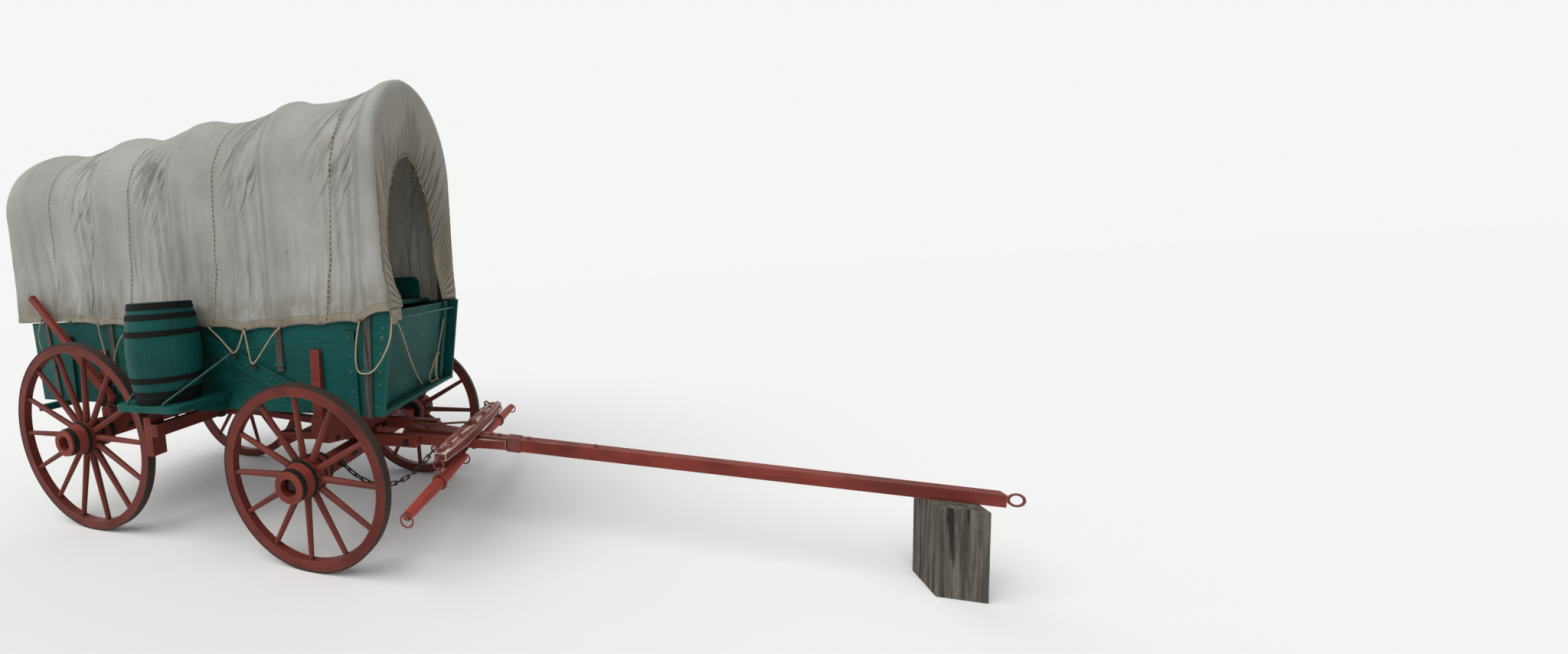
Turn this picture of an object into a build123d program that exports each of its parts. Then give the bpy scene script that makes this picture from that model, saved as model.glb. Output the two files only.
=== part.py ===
from build123d import *
import os
from math import cos, hypot, radians, sin, sqrt, tan

# Covered farm wagon, in millimetres. X runs forward, Y to the wagon's left, Z up from the ground.
# The model is worked out with X = 0 at the front axle, and export() moves it so that the origin
# lies under the middle of the whole wagon.

# Running clearances
FIT = 0.06            # radial, between a pin or axle arm and its hole
SEAT = 0.3            # between pieces that rest on each other

# Wheels: one row each, diameter and spoke count
WHEELBASE = 1900.0
HALF_TRACK = 765.0    # from the wagon's middle to the middle of a rim
CAMBER = 2.0          # degrees, axle arms point down at their ends
FRONT_WHEEL_D = 1118.0
REAR_WHEEL_D = 1366.0
FRONT_SPOKES = 12
REAR_SPOKES = 14
TYRE_T = 12.0
TYRE_W = 52.0
FELLOE_DEPTH = 55.0
FELLOE_W = 50.0
DISH = 28.0           # spoke feet stand this far inside the rim's middle
SPOKE_FOOT_R = 21.5
SPOKE_TIP_R = 15.5
FELLOE_SEAM = 1.6     # width and depth of the joints between felloes
HUB_OUT = 125.0       # hub ends, measured along the axle from the rim's middle
HUB_IN = 165.0
HUB_R = 114.0
HUB_NOSE_R = 86.0
HUB_TAIL_R = 92.0
HUB_BELLY_HALF = 36.0
HUB_RECESS_R = 54.0
HUB_RECESS_DEPTH = 62.0
BAND_T = 5.0
ARM_R = 25.0
NUT_ACROSS = 58.0
NUT_T = 26.0
COLLAR_R = 48.0
COLLAR_T = 10.0

# Box
BOX_W = 1086.0        # over the side boards
BOX_BOTTOM = 876.0
BOX_TOP = 1493.0
BOARD = 22.0
BOX_FRONT_LOW = 434.0
BOX_FRONT_HIGH = 522.0
BOX_REAR_LOW = -2698.0
BOX_REAR_HIGH = -2734.0
FLOOR_UP = 4.0        # floor's underside above the side boards' lower edge
GATE_RECESS = 75.0
GATE_DROP = 14.0      # gate's top below the sides' top
GATE_ROD_R = 7.0
GATE_ROD_DROP = 60.0
CLEAT_T = 20.0
CLEAT_W = 62.0
CLEAT_TOP = 1380.0
BRACE_W = 98.0
BRACE_SLOPE = 0.46
BRACE_PEAK = 1427.0   # where the braces' upper edges would meet
CLEAT_FRONT_X = 250.0
CLEAT_REAR_X = -WHEELBASE - 390
SEAMS = (1082.0, 1288.0)   # heights of the joints between boards
SEAM_W = 3.0
SEAM_DEPTH = 2.5
FLOOR_BOARD_W = 174.0
GATE_GROOVE = 6.0     # depth of the groove in the floor that a gate stands in
SILL_H = 24.0         # cross sills under the floor, resting on the bolsters
SILL_W = 90.0
REAR_SILL_X = -2470.0
REAR_SILL_H = 46.0
REAR_SILL_W = 64.0
SILL_OVERHANG = 150.0

# Bows and cover
BOW_W = 45.0
BOW_T = 12.0
RIDGE = 2914.0        # outside of the cover over a bow
CLOTH = 8.0
HEM = 1402.0
SAG = 60.0            # cover's ridge drops this far midway between bows
SIDE_SAG = 12.0
COVER_FRONT = 490.0
COVER_REAR = -2870.0
MOUTH_IN = 70.0       # gathered opening lies this far inside the cover's end
FRONT_MOUTH = (400.0, 350.0, 1800.0, 2470.0)   # half width at foot, at shoulder, shoulder z, top z
REAR_MOUTH = (210.0, 210.0, 1900.0, 2260.0)
MOUTH_FOOT = 1502.0
# Bows: x at the foot, x at the ridge, z of the foot
BOWS = [
    (340.0, 440.0, 866.0),
    (-275.0, -275.0, 1138.0),
    (-1040.0, -1040.0, 1138.0),
    (-1800.0, -1800.0, 1062.0),
    (-2476.0, -2720.0, 900.0),
]
STAPLE_Z = (1150.0, 1180.0, 1180.0, 1150.0, 1150.0)
STAPLE_R = 5.0

# Seat
SEAT_REAR_X = -90.0
SEAT_DEPTH = 370.0
SEAT_LENGTH = 1064.0
SEAT_T = 22.0
SEAT_BACK_H = 190.0
SEAT_ARM_H = 170.0
SEAT_ARM_INSET = 70.0

# Barrel and shelf
BARREL_X = -WHEELBASE + 935
BARREL_H = 615.0
BARREL_BELLY_R = 210.0
BARREL_END_R = 172.0
BARREL_WALL = 20.0
BARREL_STEPS = 6      # straight runs that make up the bulge
STAVES = 22
STAVE_SEAM = 2.0
BARREL_GAP = 12.0     # between the belly and the braces on the box side
HEAD_T = 20.0
HEAD_DROP = 22.0
HOOP_T = 3.0
# Hoops: height of the middle above the barrel's foot, width
HOOPS = [(20.0, 38.0), (62.0, 34.0), (150.0, 34.0), (430.0, 34.0), (530.0, 34.0), (592.0, 38.0)]
SHELF_TOP = 1000.0
SHELF_T = 40.0
SHELF_FRONT = BARREL_X + 265
SHELF_REAR = BARREL_X - 260
SHELF_OUT = 972.0
SHELF_ROUND = 60.0
ROD_R = 7.0
ROD_FOOT = 150.0      # rod feet and tops, from the barrel's middle
ROD_TOP = 327.0
ROD_EYE_R = 13.0
ROD_EYE_T = 14.0
BRACKET_W = 60.0
BRACKET_INSET = 80.0
BRACKET_REACH = 800.0
BRACKET_FOOT = 880.0

# Bolsters, axles and reach
BOLSTER_TOP = 852.0
FRONT_BOLSTER_BOTTOM = 752.0
BOLSTER_W = 96.0
BOLSTER_HALF = 588.0
STAKE_TOP = 1272.0
STAKE_W = 62.0
STAKE_FOOT_T = 44.0
STAKE_TIP_T = 26.0
AXLE_W = 100.0
AXLE_HALF = 605.0
FRONT_AXLE_BOTTOM = 508.0
FRONT_AXLE_TOP = 598.0
HOUND_T = 52.0
HOUND_W = 56.0
JAW_DROP = 22.0       # the jaws are deeper than the hounds, before the axle
SAND_BOARD_HALF = 560.0
REAR_AXLE_BOTTOM = 640.0
REAR_AXLE_TOP = 735.0
KING_R = 14.0
REACH_W = 70.0
REACH_T = 42.0
REACH_ROOM = 4.5      # for the reach's slope where it crosses an axle
REACH_FRONT = 70.0
REACH_TAIL = 260.0    # behind the rear axle
REAR_HOUND_SPREAD = 330.0
REAR_HOUND_JOIN = -WHEELBASE + 720
SWAY_X = -520.0
SWAY_T = 32.0
SWAY_W = 60.0
SWAY_HALF = 330.0

# Tongue, doubletree and singletrees
TONGUE_PIN_X = 385.0
TONGUE_PIN_Z = 607.0
TONGUE_TIP_X = 3400.0
TONGUE_TIP_Z = 464.0
TONGUE_ROOT_X = 300.0
POLE_ROOT = (78.0, 88.0)      # width, depth
POLE_TIP = (52.0, 60.0)
PIN_R = 11.0
FUTCHEL_W = 50.0
FUTCHEL_JOIN = 1010.0
FUTCHEL_SPREAD = 128.0
DOUBLETREE_X = 777.0
SPAN_HALF = 1000.0            # singletrees' outer ends from the wagon's middle
HOOK_Y = 0.585 * SPAN_HALF
SINGLETREE_HALF = 0.395 * SPAN_HALF
DOUBLETREE_HALF = HOOK_Y - 25
DOUBLETREE_W = 104.0
DOUBLETREE_T = 55.0
DOUBLETREE_END_T = 42.0
DOUBLETREE_END_W = 70.0
HAMMER_R = 14.0
HOOK_R = 7.0
HOOK_EYE_R = 15.0             # rings: radius of the bar's middle line
LINK_R = 30.0
CLIP_EYE_R = 20.0
LINK_WIRE = 5.0
LINK_GAP = 0.8
END_PIN_R = 8.0
SINGLETREE_R = 33.0
SINGLETREE_END_R = 24.0
IRON_R = 6.0
TRACE_RING_R = 32.0
NECK_RING_R = 34.0
TIP_STUB = 12.0
STRAP_T = 9.0                 # hammer strap
STRAP_W = 24.0
STRAP_L = 330.0
SLEEVE_X = (1016.0, 1100.0)   # iron sleeve over the side arms' ends
SLEEVE_T = 4.0

# Brake
BRAKE_GAP = 22.0              # shoe to tyre with the brake off
BRAKE_TRAVEL = 15.0
BRAKE_PIN_X = -WHEELBASE + 64
BRAKE_PIN_Z = 972.0
BRAKE_TOP_X = -WHEELBASE - 672
BRAKE_TOP_Z = 1700.0
BRAKE_ARM = 75.0              # lever's pin to the rod's pin below it
BRAKE_LEVER_W = 60.0
BRAKE_LEVER_TIP_W = 40.0
BRAKE_LEVER_T = 36.0
BRAKE_BEAM_Z = 790.0
BRAKE_BEAM_H = 80.0
BRAKE_BEAM_T = 56.0
BRAKE_ROD_R = 6.0
BRAKE_PLATE_T = 8.0
SHOE_Z = 746.0
SHOE_H = 256.0
SHOE_T = 62.0
SHOE_W = 96.0

# Post under the tongue's tip
POST_W = 215.0
POST_D = 190.0
POST_BACK = 190.0             # middle of the post behind the tongue's tip

# Stay chains
CHAIN_WIRE = 7.0
CHAIN_LINKS = 15
CHAIN_SAG = 165.0
CHAIN_AXLE_Y = 470.0
CHAIN_RING_R = 16.0
CHAIN_PLATE = 46.0            # plate on the doubletree that carries the chain's ring

HALF_W = BOX_W / 2
NOSE_X = TONGUE_TIP_X + TIP_STUB + 2 * NECK_RING_R
X_MIDDLE = (NOSE_X + COVER_REAR) / 2
FLOOR_BOTTOM = BOX_BOTTOM + FLOOR_UP
FLOOR_TOP = FLOOR_BOTTOM + BOARD
END_PIN_L = SPAN_HALF - HOOK_Y - SINGLETREE_HALF - SEAT


def block(x0, x1, y0, y1, z0, z1):
    """Plain block between two corners."""
    return Pos((x0 + x1) / 2, (y0 + y1) / 2, (z0 + z1) / 2) * Box(x1 - x0, y1 - y0, z1 - z0)


def prism_y(points, y0, y1):
    """Outline in X and Z, from y0 to y1."""
    face = make_face(Polyline(*[(x, y0, z) for x, z in points], close=True))
    return extrude(face, amount=y1 - y0, dir=(0, 1, 0))


def prism_x(points, x0, x1):
    """Outline in Y and Z, from x0 to x1."""
    face = make_face(Polyline(*[(x0, y, z) for y, z in points], close=True))
    return extrude(face, amount=x1 - x0, dir=(1, 0, 0))


def prism_z(points, z0, z1):
    """Outline in X and Y, from z0 to z1."""
    face = make_face(Polyline(*[(x, y, z0) for x, y in points], close=True))
    return extrude(face, amount=z1 - z0, dir=(0, 0, 1))


def bar(start, end, width, depth, tip=None):
    """Square-edged timber between two points, tapering to tip = (width, depth)."""
    a, b = Vector(*start), Vector(*end)
    along = (b - a).normalized()
    side = Vector(0, 0, 1).cross(along).normalized()
    w1, d1 = tip or (width, depth)
    ends = []
    for origin, w, d in ((a, width, depth), (b, w1, d1)):
        plane = Plane(origin=origin, x_dir=side, z_dir=along)
        ends.append(plane * Rectangle(w, d))
    return loft(ends, ruled=True)


def rod(start, end, radius, tip=None):
    """Round bar between two points."""
    a, b = Vector(*start), Vector(*end)
    plane = Plane(origin=a, z_dir=(b - a).normalized())
    length = (b - a).length
    if tip is None:
        return plane * Cylinder(radius, length, align=(Align.CENTER, Align.CENTER, Align.MIN))
    return plane * Cone(radius, tip, length, align=(Align.CENTER, Align.CENTER, Align.MIN))


def ring(middle, axis, radius, wire):
    """Round ring of six-sided wire."""
    section = Plane(origin=(radius, 0, 0), x_dir=(1, 0, 0), z_dir=(0, -1, 0)) * RegularPolygon(wire, 6)
    return Plane(origin=middle, z_dir=axis) * revolve(section, Axis.Z)


def mirror_y(shape):
    """The same piece on the wagon's other side."""
    return mirror(shape, about=Plane.XZ)


def tongue_z(x):
    """Height of the pole's middle."""
    slope = (TONGUE_TIP_Z - TONGUE_PIN_Z) / (TONGUE_TIP_X - TONGUE_PIN_X)
    return TONGUE_PIN_Z + slope * (x - TONGUE_PIN_X)


def pole_depth(x):
    """Depth of the pole."""
    share = (x - TONGUE_ROOT_X) / (TONGUE_TIP_X - TONGUE_ROOT_X)
    return POLE_ROOT[1] + share * (POLE_TIP[1] - POLE_ROOT[1])


def front_x(z):
    """Front edge of the box sides at height z."""
    return BOX_FRONT_LOW + (BOX_FRONT_HIGH - BOX_FRONT_LOW) * (z - BOX_BOTTOM) / (BOX_TOP - BOX_BOTTOM)


def rear_x(z):
    """Rear edge of the box sides at height z."""
    return BOX_REAR_LOW + (BOX_REAR_HIGH - BOX_REAR_LOW) * (z - BOX_BOTTOM) / (BOX_TOP - BOX_BOTTOM)


# Wheels, turned about their own axle: local Z points outward along the axle arm

def spoke(foot, tip):
    """Spoke of eight flats, slanting out from the hub to the felloe."""
    ends = []
    for radius, height, wide in ((foot, -DISH, SPOKE_FOOT_R), (tip, 0, SPOKE_TIP_R)):
        plane = Plane(origin=(radius, 0, height), x_dir=(0, 1, 0), z_dir=(1, 0, 0))
        ends.append(plane * Rot(0, 0, 22.5) * RegularPolygon(wide, 8))
    return loft(ends, ruled=True)


def wheel_wood(diameter, spokes):
    """Spokes and felloes, with a joint in the felloes at every second gap between spokes."""
    rim_out = diameter / 2 - TYRE_T - SEAT
    rim_in = rim_out - FELLOE_DEPTH
    wheel = Cylinder(rim_out, FELLOE_W) - Cylinder(rim_in, FELLOE_W + 2)
    face = FELLOE_W / 2 - FELLOE_SEAM
    for k in range(spokes):
        turn = Rot(0, 0, 360 * k / spokes)
        wheel += turn * spoke(HUB_R - 12, rim_in + FELLOE_W / 4)
    for k in range(0, spokes, 2):
        turn = Rot(0, 0, 360 * (k + 0.5) / spokes)
        seam = block(rim_in - 2, rim_out + 2, -FELLOE_SEAM / 2, FELLOE_SEAM / 2, face, FELLOE_W)
        wheel -= turn * seam
        wheel -= turn * mirror(seam, about=Plane.XY)
    return wheel - Cylinder(HUB_R + SEAT, 4 * HUB_BELLY_HALF)


def hub():
    """Turned hub with its bands, bored for the axle arm."""
    hub_line = [
        (ARM_R + FIT, -HUB_IN), (HUB_TAIL_R, -HUB_IN), (HUB_R, -DISH - HUB_BELLY_HALF),
        (HUB_R, -DISH + HUB_BELLY_HALF), (HUB_NOSE_R, HUB_OUT), (HUB_RECESS_R, HUB_OUT),
        (HUB_RECESS_R, HUB_OUT - HUB_RECESS_DEPTH), (ARM_R + FIT, HUB_OUT - HUB_RECESS_DEPTH),
    ]
    return revolve(make_face(Polyline(*[(r, 0, s) for r, s in hub_line], close=True)), Axis.Z) + hub_bands()


def wheel_tyre(diameter):
    """Iron tyre, coned so that its tread lies flat on the ground."""
    half = TYRE_W / 2
    lift = half * tan(radians(CAMBER))
    inner = diameter / 2 - TYRE_T
    line = [(inner, -half), (diameter / 2 + lift, -half), (diameter / 2 - lift, half), (inner, half)]
    return revolve(make_face(Polyline(*[(r, 0, s) for r, s in line], close=True)), Axis.Z)


def hub_radius(s):
    """Outside of the hub at s along the axle."""
    if s > -DISH + HUB_BELLY_HALF:
        share = (s + DISH - HUB_BELLY_HALF) / (HUB_OUT + DISH - HUB_BELLY_HALF)
        return HUB_R + share * (HUB_NOSE_R - HUB_R)
    share = (-DISH - HUB_BELLY_HALF - s) / (HUB_IN - DISH - HUB_BELLY_HALF)
    return HUB_R + share * (HUB_TAIL_R - HUB_R)


def hub_bands():
    """Four iron bands shrunk on the hub."""
    bands = Part()
    belly = HUB_BELLY_HALF + 2
    for s0, s1 in ((HUB_OUT - 30, HUB_OUT), (belly - DISH, belly - DISH + 18),
                   (-DISH - belly - 18, -DISH - belly), (-HUB_IN, -HUB_IN + 26)):
        inner = [(hub_radius(s) - 2, s) for s in (s0, s1)]
        outer = [(r + 2 + BAND_T, s) for r, s in reversed(inner)]
        line = [(r, 0, s) for r, s in inner + outer]
        bands += revolve(make_face(Polyline(*line, close=True)), Axis.Z)
    return bands


def wheel_place(axle_x, diameter, side):
    """Location of a wheel's middle, its local Z outward and down by the camber."""
    height = diameter / 2 * cos(radians(CAMBER))
    tilt = radians(CAMBER)
    plane = Plane(origin=(axle_x, side * HALF_TRACK, height), x_dir=(1, 0, 0),
                  z_dir=(0, side * cos(tilt), -sin(tilt)))
    return plane


def axle_arm(axle_x, diameter, side):
    """Iron arm, collar and nut that carry one wheel."""
    plane = wheel_place(axle_x, diameter, side)
    floor = HUB_OUT - HUB_RECESS_DEPTH
    root = -HUB_IN - SEAT - COLLAR_T - 60
    low = (Align.CENTER, Align.CENTER, Align.MIN)
    arm = Pos(0, 0, root) * Cylinder(ARM_R, floor + SEAT + NUT_T + 6 - root, align=low)
    arm += Pos(0, 0, -HUB_IN - SEAT - COLLAR_T) * Cylinder(COLLAR_R, COLLAR_T, align=low)
    nut = Pos(0, 0, floor + SEAT) * Box(NUT_ACROSS, NUT_ACROSS, NUT_T, align=low)
    return plane * (arm + nut)


def axle(axle_x, diameter, z0, z1):
    """Axle timber with sockets for the arms."""
    timber = block(axle_x - AXLE_W / 2, axle_x + AXLE_W / 2, -AXLE_HALF, AXLE_HALF, z0, z1)
    low = (Align.CENTER, Align.CENTER, Align.MIN)
    for side in (-1, 1):
        plane = wheel_place(axle_x, diameter, side)
        socket = Pos(0, 0, -HUB_IN - COLLAR_T - 70) * Cylinder(ARM_R + SEAT, 130, align=low)
        face = Pos(0, 0, -HUB_IN - COLLAR_T - 2 * SEAT) * Box(400, 400, 200, align=low)
        timber -= plane * socket
        timber -= plane * face
    return timber


# Box

def box_side():
    """Right side: boards with cleats and the braces that meet behind the barrel."""
    outline = [(BOX_REAR_LOW, BOX_BOTTOM), (BOX_FRONT_LOW, BOX_BOTTOM),
               (BOX_FRONT_HIGH, BOX_TOP), (BOX_REAR_HIGH, BOX_TOP)]
    side = prism_y(outline, -HALF_W, -HALF_W + BOARD)
    for z in SEAMS:
        for y in (-HALF_W, -HALF_W + BOARD):
            side -= block(2 * COVER_REAR, 2 * BOX_FRONT_HIGH, y - SEAM_DEPTH, y + SEAM_DEPTH,
                          z - SEAM_W / 2, z + SEAM_W / 2)
    out = -HALF_W - CLEAT_T
    for x in (CLEAT_FRONT_X, CLEAT_REAR_X):
        side += block(x - CLEAT_W / 2, x + CLEAT_W / 2, out, -HALF_W, BOX_BOTTOM, CLEAT_TOP)
    drop = BRACE_W * hypot(1, BRACE_SLOPE)
    flat = (BRACE_PEAK - CLEAT_TOP) / BRACE_SLOPE
    stake = STAKE_W / 2 + 4
    for way, foot in ((1, -stake), (-1, -WHEELBASE + stake)):
        low = BRACE_PEAK - BRACE_SLOPE * abs(foot - BARREL_X)
        points = [(BARREL_X, BRACE_PEAK - drop), (foot, low - drop), (foot, low),
                  (BARREL_X + way * flat, CLEAT_TOP), (BARREL_X, CLEAT_TOP)]
        side += prism_y(points, out, -HALF_W)
    x, z = BOWS[2][0], BOWS[2][2]
    half = BOW_W / 2 + SEAT
    return side - block(x - half, x + half, out - 1, -HALF_W, z - SEAT, CLEAT_TOP + 1)


def gate(edge, inward):
    """End gate between the sides, set back from their ends."""
    wall = []
    for z in (FLOOR_TOP - GATE_GROOVE + SEAT, BOX_TOP - GATE_DROP):
        wall.append((edge(z) + inward * GATE_RECESS, z))
    (x0, z0), (x1, z1) = wall
    step = inward * BOARD
    points = [(x0, z0), (x1, z1), (x1 + step, z1), (x0 + step, z0)]
    half = HALF_W - BOARD - SEAT
    panel = prism_y(points, -half, half)
    for z in SEAMS:
        x = edge(z) + inward * GATE_RECESS
        for seam_x in (x, x + step):
            panel -= block(seam_x - SEAM_DEPTH, seam_x + SEAM_DEPTH, -half - 1, half + 1,
                           z - SEAM_W / 2, z + SEAM_W / 2)
    for way in (-1, 1):
        y = way * (half - 90)
        strip = [(x0 - step, z0), (x1 - step, z1), (x1, z1), (x0, z0)]
        panel += prism_y(strip, y - 30, y + 30)
    return panel


def gate_rod():
    """Iron tie rod across the front of the box."""
    z = BOX_TOP - GATE_ROD_DROP
    x = front_x(z) - GATE_RECESS / 2 + 8
    inside = HALF_W - BOARD - SEAT
    return rod((x, -inside, z), (x, inside, z), GATE_ROD_R)


def box_floor():
    """Floor boards, with a groove across each end that its gate stands in."""
    half = HALF_W - BOARD - SEAT
    rear = rear_x(FLOOR_TOP) + 4
    body = block(rear, BOX_FRONT_LOW, -half, half, FLOOR_BOTTOM, FLOOR_TOP)
    for edge, inward in ((front_x, -1), (rear_x, 1)):
        x = edge(FLOOR_TOP) + inward * GATE_RECESS
        body -= block(x - BOARD - 2, x + BOARD + 2, -half - 1, half + 1, FLOOR_TOP - GATE_GROOVE, FLOOR_TOP + 1)
    for k in (-2.5, -1.5, -0.5, 0.5, 1.5, 2.5):
        y = k * FLOOR_BOARD_W
        body -= block(rear - 1, BOX_FRONT_LOW + 1, y - SEAM_W / 2, y + SEAM_W / 2,
                      FLOOR_BOTTOM - 1, FLOOR_BOTTOM + SEAM_DEPTH)
    return body


def box_sills():
    """Cross sills under the box, and those that carry the shelf and the box's tail."""
    sills = []
    for x in (0.0, -WHEELBASE):
        half = HALF_W - BOARD - SEAT
        sills.append(block(x - SILL_W / 2, x + SILL_W / 2, -half, half, BOLSTER_TOP + SEAT, FLOOR_BOTTOM - SEAT))
    rear = HALF_W + SILL_OVERHANG
    sills.append(block(REAR_SILL_X - REAR_SILL_W / 2, REAR_SILL_X + REAR_SILL_W / 2, -rear, rear,
                       BOX_BOTTOM - SEAT - REAR_SILL_H, BOX_BOTTOM - SEAT))
    return Compound(children=sills)


def shelf_brackets():
    """Two brackets on the box side that carry the shelf."""
    top = SHELF_TOP - SHELF_T - SEAT
    inner = -HALF_W - SEAT
    parts = []
    for x in (SHELF_FRONT - BRACKET_INSET, SHELF_REAR + BRACKET_INSET):
        points = [(inner, top), (-BRACKET_REACH, top), (-BRACKET_REACH, top - 25),
                  (inner - 60, BRACKET_FOOT), (inner, BRACKET_FOOT)]
        parts.append(prism_x(points, x - BRACKET_W / 2, x + BRACKET_W / 2))
    return parts


def shelf():
    """Plank with rounded outer corners."""
    plank = block(SHELF_REAR, SHELF_FRONT, -SHELF_OUT, -HALF_W - CLEAT_T - SEAT, SHELF_TOP - SHELF_T, SHELF_TOP)
    corners = plank.edges().filter_by(Axis.Z).sort_by(Axis.Y)[:2]
    return fillet(corners, SHELF_ROUND)


def barrel_y():
    return -(HALF_W + CLEAT_T + BARREL_GAP + BARREL_BELLY_R)


def barrel_radius(z):
    """Outside of the barrel at height z, straight between equal steps."""
    step = BARREL_H / BARREL_STEPS
    k = min(int(z / step), BARREL_STEPS - 1)
    ends = []
    for level in (k, k + 1):
        share = 2 * level / BARREL_STEPS - 1
        ends.append(BARREL_BELLY_R - (BARREL_BELLY_R - BARREL_END_R) * share * share)
    return ends[0] + (ends[1] - ends[0]) * (z / step - k)


def barrel_line(extra, z0, z1):
    """Outline of the bulged wall between two heights, grown by extra."""
    step = BARREL_H / BARREL_STEPS
    levels = [z0] + [k * step for k in range(1, BARREL_STEPS) if z0 < k * step < z1] + [z1]
    return [(barrel_radius(z) + extra, 0, z) for z in levels]


def turned(points):
    """Solid of revolution about Z, from an outline in X and Z."""
    return revolve(make_face(Polyline(*points, close=True)), Axis.Z)


def barrel_ring(inner, outer, z0, z1):
    """Band of the barrel's wall between two heights, from one distance outside it to another."""
    return turned(barrel_line(inner, z0, z1) + barrel_line(outer, z0, z1)[::-1])


def barrel():
    """Staves with heads, and hoops, each as one node's shape."""
    place = Pos(BARREL_X, barrel_y(), SHELF_TOP + SEAT)
    wall = barrel_ring(-BARREL_WALL, 0, 0, BARREL_H)
    line = barrel_line(-STAVE_SEAM, -1, BARREL_H + 1) + barrel_line(9, -1, BARREL_H + 1)[::-1]
    blade = prism_y([(x, z) for x, y, z in line], -STAVE_SEAM / 2, STAVE_SEAM / 2)
    for k in range(STAVES):
        wall -= Rot(0, 0, 360 * k / STAVES) * blade
    parts = [wall]
    for z in (HEAD_DROP, BARREL_H - HEAD_DROP - HEAD_T):
        rim = barrel_line(-BARREL_WALL - SEAT, z, z + HEAD_T)
        parts.append(turned([(0, 0, z)] + rim + [(0, 0, z + HEAD_T)]))
    hoops = [barrel_ring(SEAT, SEAT + HOOP_T, z - width / 2, z + width / 2) for z, width in HOOPS]
    return place * Compound(children=parts), place * Compound(children=hoops)


def shelf_rods():
    """Two rods from the shelf's outer edge up to the braces on the box side."""
    rods = []
    face = -HALF_W - CLEAT_T - SEAT
    top_z = BRACE_PEAK - BRACE_SLOPE * ROD_TOP - ROD_EYE_R - 2
    for way in (-1, 1):
        x0, y0 = BARREL_X + way * ROD_FOOT, -SHELF_OUT + 22
        x1, y1 = BARREL_X + way * ROD_TOP, face - ROD_EYE_T / 2
        body = rod((x0, y0, SHELF_TOP + ROD_EYE_R), (x1, y1, top_z), ROD_R)
        body += rod((x0, y0, SHELF_TOP + SEAT), (x0, y0, SHELF_TOP + ROD_EYE_R + 5), ROD_R)
        body += rod((x1, face, top_z), (x1, face - ROD_EYE_T, top_z), ROD_EYE_R)
        rods.append(body)
    return rods


def seat():
    """Plank seat with a back and rounded end panels, on the sides' top edges."""
    z0 = BOX_TOP + SEAT
    z1 = z0 + SEAT_T
    front = SEAT_REAR_X + SEAT_DEPTH
    half = SEAT_LENGTH / 2
    body = block(SEAT_REAR_X, front, -half, half, z0, z1)
    inner = half - SEAT_ARM_INSET
    body += block(SEAT_REAR_X, SEAT_REAR_X + SEAT_T, -inner, inner, z1, z1 + SEAT_BACK_H)
    for way in (-1, 1):
        y = way * (inner - SEAT_T / 2)
        arm = block(SEAT_REAR_X, front - 40, y - SEAT_T / 2, y + SEAT_T / 2, z1, z1 + SEAT_ARM_H)
        top_front = arm.edges().filter_by(Axis.Y).sort_by(Axis.X)[-2:].sort_by(Axis.Z)[-1]
        body += fillet(top_front, 60)
    return body


# Bows and cover

def arch_face(x_of, half, top, foot):
    """Filled arch in the plane x_of(z), straight legs under a half circle."""
    shoulder = top - half
    mid = half * sqrt(0.5)

    def p(y, z):
        return (x_of(z), y, z)

    lines = [
        Line(p(-half, foot), p(-half, shoulder)),
        ThreePointArc(p(-half, shoulder), p(-mid, shoulder + mid), p(0, top)),
        ThreePointArc(p(0, top), p(mid, shoulder + mid), p(half, shoulder)),
        Line(p(half, shoulder), p(half, foot)),
        Line(p(half, foot), p(-half, foot)),
    ]
    return make_face(Wire(lines))


def mouth_face(x, mouth, grow=0.0):
    """Pointed opening in the plane x, from a row of half widths and heights."""
    foot, shoulder, shoulder_z, top = mouth
    side, upper, peak = shoulder + grow, foot + grow, top + grow
    mid_z = shoulder_z + 0.62 * (peak - shoulder_z)
    mid_y = 0.66 * side
    lines = [
        Line((x, -upper, MOUTH_FOOT), (x, -side, shoulder_z)),
        ThreePointArc((x, -side, shoulder_z), (x, -mid_y, mid_z), (x, 0, peak)),
        ThreePointArc((x, 0, peak), (x, mid_y, mid_z), (x, side, shoulder_z)),
        Line((x, side, shoulder_z), (x, upper, MOUTH_FOOT)),
        Line((x, upper, MOUTH_FOOT), (x, -upper, MOUTH_FOOT)),
    ]
    return make_face(Wire(lines))


def bow_half():
    """Inside of a bow from the wagon's middle."""
    return HALF_W + SEAT


def bow(foot_x, ridge_x, foot_z):
    """Flat bent bow, outside the box sides."""
    top = RIDGE - CLOTH - SEAT
    lean = lean_of((foot_x, ridge_x, foot_z))

    def x_of(z):
        return foot_x + lean * (z - foot_z)

    outer = arch_face(x_of, bow_half() + BOW_T, top, foot_z)
    inner = arch_face(x_of, bow_half(), top - BOW_T, foot_z - 10)
    body = extrude(outer, amount=BOW_W, dir=(1, 0, 0)) - extrude(inner, amount=BOW_W, dir=(1, 0, 0))
    return Pos(-BOW_W / 2, 0, 0) * body


def bow_staples():
    """Iron staples that hold each bow's leg to the side."""
    staples = []
    for row, z in zip(BOWS, STAPLE_Z):
        x = row[0] + lean_of(row) * (z - row[2])
        gap = BOW_W / 2 + 2
        reach = gap + 2 * STAPLE_R
        face = HALF_W + SEAT
        back = face + BOW_T + SEAT
        staple = block(x - reach, x + reach, face, back + 2 * STAPLE_R, z - STAPLE_R, z + STAPLE_R)
        staple -= block(x - gap, x + gap, face - 1, back, z - STAPLE_R - 1, z + STAPLE_R + 1)
        staples += [staple, mirror_y(staple)]
    return Compound(children=staples)


def lean_of(row):
    """Forward lean of a bow, as x per z, from its row."""
    foot_x, ridge_x, foot_z = row
    return (ridge_x - foot_x) / (RIDGE - foot_z)


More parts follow.
